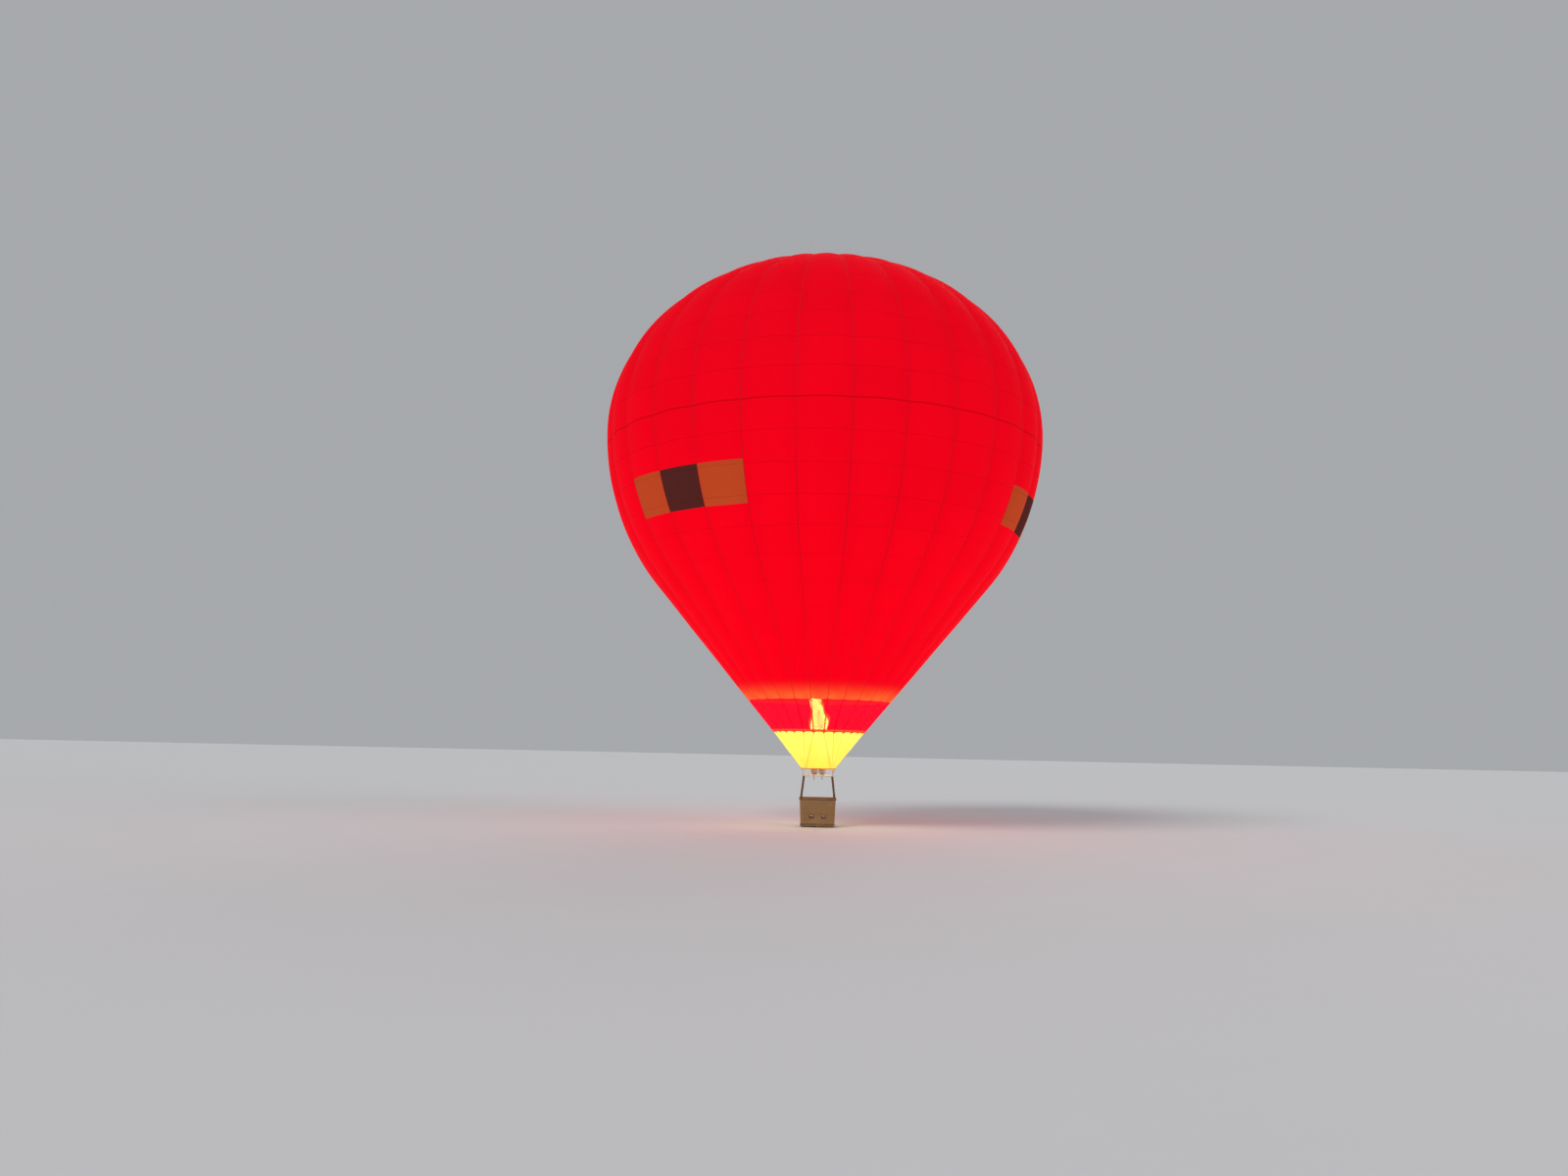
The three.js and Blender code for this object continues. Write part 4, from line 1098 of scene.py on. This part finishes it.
def build_load_frame():
    """The welded square frame: corner blocks, lugs, tabs for tethers, and the gimbal's bearings."""
    stock = Stock()
    posts = [np.array([sx * FRAME_HALF, sy * FRAME_HALF, FRAME_Z]) for sx, sy in CORNERS.values()]
    bead = hoop((0.019, 0, 0), 0.003, 6)[:, :2]
    for a, b in zip(posts, posts[1:] + posts[:1]):
        way = unit(b - a)
        stock.tube([a + way * 0.03, b - way * 0.03], PIPE_R, 24)
        for end in (a + way * 0.0455, b - way * 0.0455):
            stock.ring(bead, end, way)
    karabiner_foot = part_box("karabiner_front_right")[0][2]
    lug_hole = karabiner_foot + 2 * KARABINER_BAR_R + 0.0006 - LUG_HOLE_R
    lug_z = FRAME_Z + 0.029
    stand = Matrix.Rotation(-TURN / 4, 4, "Y") @ Matrix.Rotation(TURN / 4, 4, "X")
    stand = stand @ Matrix.Translation((0, 0, -0.006))
    for (sx, sy), post in zip(CORNERS.values(), posts):
        stock.block((0.09, 0.09, 0.06), post, 0.006, steps=3)
        spin = Matrix.Rotation(math.atan2(sy, sx), 4, "Z")
        lug = Matrix.Translation((sx * ANCHOR_HALF, sy * ANCHOR_HALF, lug_z)) @ spin @ stand
        stock.plate(lug_hole - lug_z, 0.046, LUG_HOLE_R, 0.012, lug)
        stock.plate(0.105, 0.054, 0.012, 0.010, Matrix.Translation(post - Z_AXIS * 0.025) @ spin)
        for dy in (0.028, -0.028):
            for dx in (0.028, -0.028):
                stock.turned(mm(7, 0, 8, 1, 8, 5.5), post + (dx, dy, -0.0345), sides=6)
    for side in SIDES:
        axis = (side, 0, 0)
        stock.ring(mm(9, 0, 19.5, 0, 19.5, 35, 9, 35), (side * 0.54, 0, FRAME_Z), axis, 32)
        stock.ring(mm(9, 0, 24, 0, 24, 6, 9, 6), (side * 0.541, 0, FRAME_Z), axis, 32)
        stock.turned(mm(19.5, 0, 19.5, 5, 12, 8), (side * 0.61, 0, FRAME_Z), axis)
    stock.piece("welded_frame", "steel", "frame_steel", "load_frame")


def build_gimbal():
    """The square tube ring that tilts on two pins, with bosses for the burner bar."""
    stock = Stock()
    half_x, half_y = GIMBAL_HALF
    bar = GIMBAL_BAR
    for side in SIDES:
        stock.block((2 * half_x + bar - 0.04, bar, bar), (0, side * half_y, FRAME_Z))
        stock.block((bar, 2 * half_y + bar - 0.04, bar), (side * half_x, 0, FRAME_Z))
        for other in SIDES:
            corner = (side * (half_x - 0.006), other * (half_y - 0.006), FRAME_Z)
            stock.turned(mm(18.5, -15, 21.5, -12, 21.5, 12, 18.5, 15), corner)
        axis = (side, 0, 0)
        stock.turned(mm(7.8, 0, 8.3, 1, 8.3, 72, 7.5, 73.5), (side * half_x, 0, FRAME_Z), axis, 20)
        stock.ring(mm(8.5, 0, 17, 0, 17, 4, 8.5, 4), (side * (half_x + 0.016), 0, FRAME_Z), axis)
        boss = (0, side * (half_y + bar / 2), FRAME_Z)
        stock.ring(mm(9.2, 0, 17, 0, 19, 2, 19, 8, 9.2, 8), boss, (0, side, 0))
    stock.piece("gimbal_ring", "steel", "frame_steel", "gimbal_frame", "gimbal")


def build_burner_bar():
    """The bar and tray under both burners, on two pins in the gimbal."""
    stock = Stock().block((0.04, 0.44, 0.04), (0, 0, FRAME_Z), 0.004)
    stock.block((0.45, 0.13, 0.014), (0, 0, FRAME_Z + 0.013), 0.004)
    for side in SIDES:
        stock.turned(mm(8.3, 0, 8.3, 49, 7.5, 51), (0, side * 0.213, FRAME_Z), (0, side, 0), 20)
        for x in (-0.2, -0.13, 0.13, 0.2):
            bolt = (x, side * 0.056, FRAME_Z + 0.0199)
            stock.turned(mm(8, 0, 8, 4, 6.5, 5.2), bolt, sides=6, look=1)
    stock.piece("burner_tray", "alloy steel", "burner_alloy", "burner_bar", "burner")


def build_burner_base(name, x):
    """The block and the dish, with a ring of jets on three spokes."""
    foot, top = FRAME_Z + 0.0203, FRAME_Z + 0.1177
    stock = Stock().block((0.11, 0.1, 0.048), (x, 0, foot + 0.024), 0.005, steps=3)
    for dx in (-0.042, 0.042):
        for dy in (-0.036, 0.036):
            stock.turned(mm(7.5, 0, 7.5, 5), (x + dx, dy, foot + 0.0478), sides=6, look=1)
    under = mm(60, 60.3, 74, 63.3, 149, 103.7, 150, 105.7, 150, 116.7, 149, 117.7, 111, 117.7, 110, 116.7)
    inside = mm(66, 76.3, 60, 78.3, 36, 78.3, 34, 80.3, 34, 133.7, 30, 137.7)
    stock.turned(np.concatenate([under, inside]), (x, 0, FRAME_Z), sides=48)
    stock.tube(hoop((x, 0, top - 0.006), JET_RING_R, 48), 0.006, closed=True, look=1)
    for jet in hoop((x, 0, top - 0.001), JET_RING_R, 24):
        stock.turned(mm(2.8, 0, 2.8, 6, 1.2, 8), jet, sides=8, look=2)
    for out in bearing(around(3) + 0.4):
        stock.tube([out * reach + (x, 0, top - 0.006) for reach in (0.032, 0.083)], 0.0045, look=1)
    stock.piece(f"burner_dish_{name}", "alloy steel brass", "burner_alloy", f"burner_base_{name}", "burner")


def coil_mesh(name, radius, top_radius):
    """A helix of tube, grown from a spiral and a round section."""
    sizes = {"Turns": COIL_TURNS, "Radius": radius, "Top": top_radius}
    growth = Growth(name, Material=LOOKS["coil"], **sizes, Height=COIL_H, Tube=COIL_TUBE_R)
    sockets = {"Rotations": "Turns", "Start Radius": "Radius", "End Radius": "Top", "Height": "Height"}
    values = {socket: growth.given(size) for socket, size in sockets.items()}
    spiral = growth.node("GeometryNodeCurveSpiral", values={"Resolution": 36, **values})
    values = {"Resolution": 10, "Radius": growth.given("Tube")}
    section = growth.node("GeometryNodeCurvePrimitiveCircle", values=values)
    return growth.mesh(name, growth.swept(spiral, section))


def build_coils():
    """Two nested helices of vaporiser tube on each burner, tied by four upright straps."""
    for name, x in BURNERS.items():
        whole = bmesh.new()
        for radius, top_radius in COILS:
            mesh = coil_mesh(f"helix_{name}", radius, top_radius)
            mesh.transform(Matrix.Translation((x, 0, COIL_FOOT_Z + 0.012)))
            whole.from_mesh(mesh)
        stock = Stock()
        foot = np.array([x, 0, COIL_FOOT_Z])
        for out in bearing(around(4) + TURN / 8):
            line = [foot + Z_AXIS * 0.001 + out * 0.126, foot + Z_AXIS * 0.304 + out * 0.1145]
            stock.tube(line, 0.0032, 8, look=1)
        bend = np.linspace(0, TURN / 2, 9)[:, None]
        bend = X_AXIS * (0.115 + 0.012 * np.cos(bend)) + Y_AXIS * 0.012 * np.sin(bend)
        stock.tube(bend + foot + Z_AXIS * 0.3, COIL_TUBE_R)
        whole.from_mesh(stock.mesh("straps", "coil steel"))
        mesh = bpy.data.meshes.new(f"coil_tube_{name}")
        whole.to_mesh(mesh)
        whole.free()
        finish_mesh(mesh, "coil steel")
        place(f"coil_tube_{name}", mesh, "burner", f"burner_coil_{name}")


def flame_skin(stock, x, reach, wide, phase, look):
    """A closed flame: narrow inside the coil, then swelling, leaning and breaking into tongues."""
    share = np.linspace(0, 1, 72)[1:-1]
    angles = around(FLAME_SIDES)
    body = wide * np.sin(share**1.1 * math.pi) ** 0.6 * (1 + 0.34 * share * np.sin(share * 24 + phase))
    throat = FLAME_THROAT if look else 0.8 * FLAME_THROAT
    radius = np.where(share < 0.1, throat, np.maximum(body, throat * (share < 0.5)))
    drift = 0.1 * np.sin(share * 9 + x * 9) * share - 0.6 * x * share
    lick = 0.22 * share[:, None] * np.sin(3 * angles + share[:, None] * 17 + phase)
    lick = lick + 0.14 * share[:, None] * np.sin(5 * angles - share[:, None] * 29)
    ring = radius[:, None] * (1 + lick)
    foot = FLAME_FOOT_Z + 0.01 * look
    across = x + drift[:, None] + ring * np.cos(angles)
    along = 0.5 * drift[:, None] + ring * np.sin(angles)
    points = np.stack([across, along, foot + reach * share[:, None] + 0 * angles], 2)
    ends = [[x, 0, foot], [x + drift[-1], 0.5 * drift[-1], foot + reach]]
    stock.add(np.concatenate([points.reshape(-1, 3), ends]), poled_faces(len(share), FLAME_SIDES), look)


def build_flames():
    """A bright core inside an orange skin over each burner."""
    for name, x in BURNERS.items():
        reach = FLAME_H * FLAME_SHARES[name]
        stock = Stock()
        flame_skin(stock, x, reach * 0.95, FLAME_R, x * 20, 0)
        flame_skin(stock, x, reach, FLAME_R * 1.3, x * 20, 1)
        stock.piece(f"flame_{name}", "flame flame_skin", None, body="burner")


def build_blast_valves():
    """Valve body with its inlet, pressure gauge and a lever with a bright grip."""
    top = FRAME_Z + 0.0057
    for name, x in BURNERS.items():
        stock = Stock().block((0.058, 0.068, 0.056), (x, 0, top - 0.030), 0.005, steps=3)
        inlet = mm(17, 0, 17, 12, 12, 15, 12, 34, 14, 36, 14, 50, 10, 52)
        stock.turned(inlet, (x, 0.033, top - 0.03), Y_AXIS, 20, look=1)
        stock.turned(mm(20, -6, 22, 0, 22, 0.5, 19, 1.2), (x + 0.0285, 0, top - 0.032), X_AXIS, 28, look=1)
        arm = [(-0.03, -0.035), (-0.06, -0.038), (-0.1, -0.042), (-0.107, -0.05)]
        stock.tube([(x, y, top + z) for y, z in arm], 0.0075, 12)
        grip = [(-0.106, -0.048), (-0.111, -0.075), (-0.122, -0.13), (-0.134, -0.186)]
        stock.tube([(x, y, top + z) for y, z in grip], [0.009, 0.0115, 0.0115, 0.0095], 16, look=2)
        looks, node = "alloy brass grip", f"blast_valve_{name}"
        stock.piece(f"valve_lever_{name}", looks, "burner_alloy", node, "burner")


# Basket


def basket_ring(height, inwards, count):
    """Points at equal steps round the basket at a height, with the outward direction at each."""
    half = np.array(BASKET_HALF) + FLARE * (height - WICKER_FOOT) - inwards
    radius = CORNER_R - inwards
    straight = 2 * (half - radius)
    bend = TURN / 4 * radius
    lengths = np.array([straight[0], bend, straight[1], bend] * 2)
    ends = np.cumsum(lengths)
    t = np.arange(count) / count * ends[-1]
    segment = np.searchsorted(ends, t)
    t = t - (ends - lengths)[segment]
    side, bent = segment // 2, segment % 2
    heading = side * TURN / 4
    angle = heading + bent * t / radius
    square, ahead, out = bearing(heading - TURN / 4), bearing(heading), bearing(angle - TURN / 4)
    along = np.where(bent, straight[side % 2] / 2, t - straight[side % 2] / 2)
    points = square * (half[(side + 1) % 2] - radius)[:, None] + ahead * along[:, None] + out * radius
    points[:, 2] = height
    return points, out


def in_step_hole(points, margin):
    """Which points of the front and back walls lie in a step hole or within a margin of one."""
    x, y, z = np.abs(points - (0, 0, GROUND + STEP_Z)).T
    return (np.abs(x - STEP_X) < STEP_W / 2 + margin) & (y > 0.4) & (z < STEP_H / 2 + margin)


def build_wicker():
    """Split cane woven over and under upright stakes, open at the step holes."""
    foot, middle = WICKER_FOOT + 0.012, WICKER / 2
    thin, tall = STRAND_HALF
    corners = [(thin, -tall), (-thin, -tall), (-thin, tall), (thin, tall)]
    rows = int((WICKER_TOP - foot) / WEAVE_PITCH)
    lower, upper = Stock(), Stock()
    samples = STAKES * 4
    phase = np.arange(samples) / 4 * math.pi
    for row in range(rows):
        stock = lower if row < rows / 2 else upper
        points, outs = basket_ring(foot + (row + 0.5) * WEAVE_PITCH, middle, samples)
        weave = np.cos(phase + (row % 2) * math.pi)
        line = points + outs * (weave * WEAVE_SWING)[:, None]
        hidden = in_step_hole(points, 0.004)
        shade = rng.uniform(0, 1)
        runs = [np.arange(samples)]
        if hidden.any():
            order = np.roll(runs[0], -int(np.argmax(hidden)))
            parts = np.split(order, np.nonzero(hidden[order])[0])
            runs = [part[1:] for part in parts if len(part) > 3]
        for run in runs:
            ring = np.stack([line[run] + outs[run] * a + Z_AXIS * b for a, b in corners], 1)
            # the strand's second value is its painted light: lower where it goes in behind a stake
            bright = np.clip(0.5 + 0.5 * weave[run], 0, 1) * 0.9 + 0.1
            values = np.stack([0 * bright + shade, bright, np.arange(len(run)) * 0.0085], -1)
            faces = grid_faces(len(run), 4, not hidden.any())
            stock.add(ring, faces, strand=np.repeat(values, 4, 0))
    heights = np.linspace(WICKER_FOOT + 0.003, WICKER_TOP - 0.002, 9)
    rings = np.array([basket_ring(height, middle, samples)[0] for height in heights])
    hole = GROUND + STEP_Z + np.array([-1, 1]) * (STEP_H / 2 + 0.002)
    shares = (np.array([heights[0], *hole, heights[-1]]) - heights[0]) / (heights[-1] - heights[0])
    for k in range(STAKES):
        path = rings[:, k * 4 + 2]
        bars = [path]
        if in_step_hole(path, 0).any():
            cut = path[0] + (path[-1] - path[0]) * shares[:, None]
            bars = [cut[:2], cut[2:]]
        for bar in bars:
            # stakes get a low painted light, as painted shade behind the weave
            upper.tube(bar, STAKE_R, 6, strand=(rng.uniform(0, 0.6), 0.35, 0.0))
    lower.piece("woven_wall_lower", "cane", "wicker", "basket_wall", smooth_deg=70)
    upper.piece("woven_wall_upper", "cane", "wicker", smooth_deg=70)


def swell(mesh, held, pressure, growth, furthest):
    """Blows a padded cover up by a short cloth simulation. held are the points that the stitches keep."""
    pad = link("pad", mesh)
    stitched = pad.vertex_groups.new(name="stitched")
    stitched.add([int(i) for i in held], 1, "REPLACE")
    cloth = pad.modifiers.new("swell", "CLOTH")
    cloth.settings.quality = 6
    cloth.settings.use_pressure = True
    cloth.settings.uniform_pressure_force = pressure
    cloth.settings.vertex_group_mass = "stitched"
    cloth.settings.shrink_min = -growth
    cloth.settings.effector_weights.gravity = 0
    cloth.collision_settings.use_collision = False
    cloth.point_cache.frame_end = SWELL_FRAMES
    for step in range(1, SWELL_FRAMES + 1):
        bpy.context.scene.frame_set(step)
    made = pad.evaluated_get(bpy.context.evaluated_depsgraph_get())
    before = vertices_of(mesh)
    moved = vertices_of(made.data) - before
    length = np.linalg.norm(moved, axis=1)[:, None]
    moved *= np.minimum(1, furthest / np.maximum(length, 1e-9))
    pad.modifiers.clear()
    mesh.vertices.foreach_set("co", (before + moved).ravel())
    mesh.update()
    bpy.data.objects.remove(pad)
    bpy.context.scene.frame_set(1)


def build_rim():
    """The padded suede roll on the basket's edge, swollen between the turns of a thong."""
    low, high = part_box("basket_rim")
    points, outs = basket_ring(WICKER_TOP, WICKER / 2, RIM_STEPS)
    points[:, 2] = (low[2] + high[2]) / 2
    mesh = Stock().tube(points, RIM_R, RIM_SIDES, closed=True).mesh("suede_rim", "rim", 180)
    laced = np.arange(THONGS) * (RIM_STEPS // THONGS)
    rings = np.stack([laced, laced + 1], 1).reshape(-1, 1)
    swell(mesh, (rings * RIM_SIDES + np.arange(RIM_SIDES)).ravel(), 6.0, 0.05, 0.0036)
    place("suede_rim", mesh, "root", "basket_rim")
    stock = Stock()
    for k in laced:
        lean = np.cross(Z_AXIS, outs[k]) * 0.003
        centre = (points[k] + points[k + 1]) / 2
        stock.tube(hoop(centre, 1, 18, outs[k] * 0.0412, Z_AXIS * 0.0412 + lean), 0.0022, 6, closed=True)
    stock.piece("rim_lacing", "thong", "rim_leather")


def build_basket_band():
    """Rawhide round the basket's foot, with two rows of stitches, and bound edges in the step holes."""
    low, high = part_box("basket_band")
    heights = np.linspace(high[2], low[2], 5)
    proud = (-0.0055, -0.0072, -0.0078, -0.0072, -0.0055)
    outer, inner = (
        np.array([basket_ring(height, inwards, 160)[0] for height, inwards in zip(heights, depths)])
        for depths in (proud, [-0.0004] * 5)
    )
    stock = Stock().shell(outer, inner, wrap=True)
    for height in (low[2] + 0.012, high[2] - 0.012):
        seat, outs = basket_ring(height, -0.0062, 240)
        for a, b, out in zip(seat, np.roll(seat, -1, 0), outs):
            stitch = [a + (b - a) * 0.15, (a + b) / 2 + out * 0.0012, b - (b - a) * 0.15]
            stock.tube(stitch, 0.0009, 5, look=1)
    square = [np.sign(wave) * np.abs(wave) ** 0.35 for wave in (np.cos(around(40)), np.sin(around(40)))]
    rise = square[1] * (STEP_H / 2 - 0.001)
    centre_z = GROUND + STEP_Z
    face = BASKET_HALF[1] + FLARE * (centre_z - WICKER_FOOT) - WICKER / 2 + FLARE * rise
    for sx in SIDES:
        for sy in SIDES:
            x = sx * STEP_X + square[0] * (STEP_W / 2 - 0.001)
            stock.tube(np.stack([x, sy * face, centre_z + rise], 1), 0.0185, closed=True)
    stock.piece("rawhide_band", "rim thread", "rim_leather", "basket_band")


def sleeve_mesh(foot, top, outward):
    """A padded sleeve along a pole, with its lacing on the side away from outward."""
    path = foot + (top - foot) * np.linspace(0, 1, SLEEVE_ROWS)[:, None]
    mesh = Stock().tube(path, SLEEVE_R, SLEEVE_SIDES).mesh("sleeve", "sleeve", 70)
    way = unit(top - foot)
    points = vertices_of(mesh) - foot
    along = points @ way
    share = along / np.linalg.norm(top - foot)
    inwards = (points - along[:, None] * way) @ -outward
    cuffed = np.min([np.abs(share - at) for at in (0, 1, *CUFFS)], 0) < 0.018
    knotted = np.abs((share * 11 + 0.5) % 1 - 0.5) < 0.06
    held = (inwards > 0.034) | cuffed | (knotted & (inwards > 0.02))
    swell(mesh, np.nonzero(held)[0], 5.0, 0.07, 0.0038)
    return mesh


def build_uprights():
    """Padded leather sleeves over the poles, laced along the inner side and cuffed at both ends."""
    low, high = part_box("upright_front_right")
    foot = np.array([POLE_FOOT[0], -POLE_FOOT[1], low[2]])
    top = np.array([FRAME_HALF, -FRAME_HALF, high[2]])
    shape = sleeve_mesh(foot, top, corner_axes(1, -1)[0])
    for name, (sx, sy) in CORNERS.items():
        mesh = shape.copy()
        mesh.transform(Matrix.Diagonal((sx, -sy, 1, 1)))
        if sx * sy > 0:
            mesh.flip_normals()
        sleeve = place(f"sleeve_{name}", mesh, "root", f"upright_{name}")
        start = foot * (sx, -sy, 1)
        run = top * (sx, -sy, 1) - start
        way = unit(run)
        outward = corner_axes(sx, sy)[0]
        side = np.cross(outward, way)
        stock = Stock()
        for at in CUFFS:
            cuff = [start + run * at + way * t for t in (-0.018, -0.014, 0.014, 0.018)]
            stock.tube(cuff, [0.0385, 0.0412, 0.0412, 0.0385], 24)
        for k in range(CROSSINGS):
            centre = start + run * (0.1 + 0.8 * (k + 0.5) / CROSSINGS) - outward * (SLEEVE_R + 0.0003)
            for lean in SIDES:
                reach = side * 0.009 * lean + way * 0.012
                stock.tube([centre - reach, centre - outward * 0.0012, centre + reach], 0.0013, 5, look=1)
        stock.piece(f"sleeve_lacing_{name}", "cuff thong", "upright_pad")


def build_cylinders():
    """Gas cylinders in quilted jackets with straps, a collar with hand holes and a valve."""
    quilt = []
    for base in np.arange(8) * 86 + 50:
        quilt += [150.5, base, 154.5, base + 20, 155, base + 43, 154.5, base + 66]
    shoulder = [152, 742, 140, 775, 121, 803, 112, 808]
    jacket = mm(118, 0, 126, 2, 149, 26, 153, 42, *quilt, *shoulder)
    for name, (sx, sy) in CORNERS.items():
        foot = np.array([sx * CYLINDER_PLACE[0], sy * CYLINDER_PLACE[1], WICKER_FOOT])
        stock = Stock().turned(jacket, foot, sides=40, top=0.81)
        stock.ring(mm(92, 812, 99.5, 812, 99.5, 915, 98, 919, 93.5, 919, 92, 915), foot, sides=40, look=1)
        stock.turned(mm(26, 808, 26, 830, 15, 836, 15, 862), foot, sides=20, look=2)
        wheel = foot + Z_AXIS * 0.878
        stock.tube(hoop(wheel, 0.0225, 24), 0.0034, 8, closed=True, look=3)
        for rim in hoop(wheel, 0.0225, 4):
            stock.tube([foot + Z_AXIS * 0.876, rim], 0.0024, 6, look=3)
        stock.tube([foot + Z_AXIS * 0.855, foot + Z_AXIS * 0.883], 0.005, look=3)
        for height in (200, 580):
            strap = mm(154.7, height, 156.5, height, 156.5, height + 45, 154.7, height + 45)
            stock.ring(strap, foot, sides=40, look=4)
            buckle = foot + Z_AXIS * (height / 1000 + 0.0225) - corner_axes(sx, sy)[0] * 0.1575
            stock.block((0.005, 0.05, 0.038), buckle, 0.0015, 2, math.atan2(-sy, -sx))
        looks = "jacket alloy brass grip strap"
        stock.piece(f"jacketed_cylinder_{name}", looks, "cylinder_jacket", f"gas_cylinder_{name}")


def build_floor_and_runners():
    """The plywood floor with eased edges, and runners with both ends turned up."""
    low, high = (corner[2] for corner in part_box("basket_floor"))
    edges = [(low + 0.0003, 0.003), (low + 0.003, 0.0006), (high - 0.003, 0.0006), (high - 0.0003, 0.003)]
    rings = []
    for height, inwards in edges:
        ring = basket_ring(WICKER_FOOT, inwards, 120)[0]
        ring[:, 2] = height
        rings.append(ring)
    Stock().add(rings, grid_faces(4, 120)).piece("ply_floor", "ply", "floor_ply", "basket_floor")
    turns = np.linspace(0, TURN / 4, 7)
    for name in ("left", "middle", "right"):
        low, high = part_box(f"runner_{name}")
        half, height = (high[1] - low[1]) / 2, high[2] - low[2]
        bends = [(half - 0.04 * (1 - math.sin(a)), 0.034 * (1 - math.cos(a))) for a in turns]
        outline = [(-y, z) for y, z in bends[::-1]] + bends + [(half, height), (-half, height)]
        points = [(x, y, low[2] + z) for x in (low[0] + 0.0005, high[0] - 0.0005) for y, z in outline]
        faces = grid_faces(2, len(outline))
        skid = Stock().add(points, faces).piece(f"skid_{name}", "ply", "floor_ply", f"runner_{name}")
        skid.data.shade_flat()


# Camera, stage and light


def add_camera():
    data = bpy.data.cameras.new("camera")
    data.sensor_fit = "HORIZONTAL"
    data.sensor_width = SENSOR_MM
    data.lens = SENSOR_MM * FOCAL_PX / FRAME_PX[0]
    data.clip_end = 2000
    camera = link("camera", data)
    pitch = math.atan((HORIZON_PX - FRAME_PX[1] / 2) / FOCAL_PX)
    yaw = math.atan((AXIS_PX - FRAME_PX[0] / 2) / FOCAL_PX)
    look = Matrix.Rotation(yaw, 4, "Z") @ Matrix.Rotation(TURN / 4 + pitch, 4, "X")
    look = look @ Matrix.Rotation(math.radians(ROLL_DEG), 4, "Z")
    camera.matrix_world = Matrix.Translation((0, -CAMERA_AWAY, CAMERA_Z)) @ look
    bpy.context.scene.camera = camera


def add_stage():
    ways = ((-1, -1), (1, -1), (1, 1), (-1, 1))
    corners = [(x * STAGE_HALF, y * STAGE_HALF, GROUND) for x, y in ways]
    link("floor", Stock().add(corners, [(0, 1, 2, 3)]).mesh("floor", "floor"))
    world = bpy.data.worlds.new("studio")
    world.use_nodes = True
    sky = world.node_tree.nodes["Background"]
    sky.inputs["Color"].default_value = (0.7, 0.72, 0.75, 1)
    sky.inputs["Strength"].default_value = 0.55
    bpy.context.scene.world = world
    bpy.context.scene.view_settings.view_transform = "Standard"


def add_sun(name, energy, colour, place_at, aim_z, width_deg):
    data = bpy.data.lights.new(name, "SUN")
    data.energy = energy
    data.color = colour
    data.angle = math.radians(width_deg)
    lamp = link(name, data)
    lamp.location = place_at
    lamp.rotation_euler = (Vector((0, 0, aim_z)) - Vector(place_at)).to_track_quat("-Z", "Y").to_euler()


build_envelope()
build_mouth_band()
build_valve()
build_load_tapes()
build_crown()
build_skirt()
build_wires()
build_karabiners()
build_load_frame()
build_gimbal()
build_burner_bar()
for burner, burner_x in BURNERS.items():
    build_burner_base(burner, burner_x)
build_coils()
build_flames()
build_blast_valves()
build_wicker()
build_rim()
build_basket_band()
build_uprights()
build_cylinders()
build_floor_and_runners()
add_camera()
add_stage()
add_sun("key", 1.5, (1, 0.98, 0.95), (-30, -40, 40), -2, 25)
add_sun("fill", 0.5, (0.93, 0.96, 1), (40, -20, 15), -4, 40)
add_sun("back", 0.4, (1, 1, 1), (10, 50, 30), 0, 40)
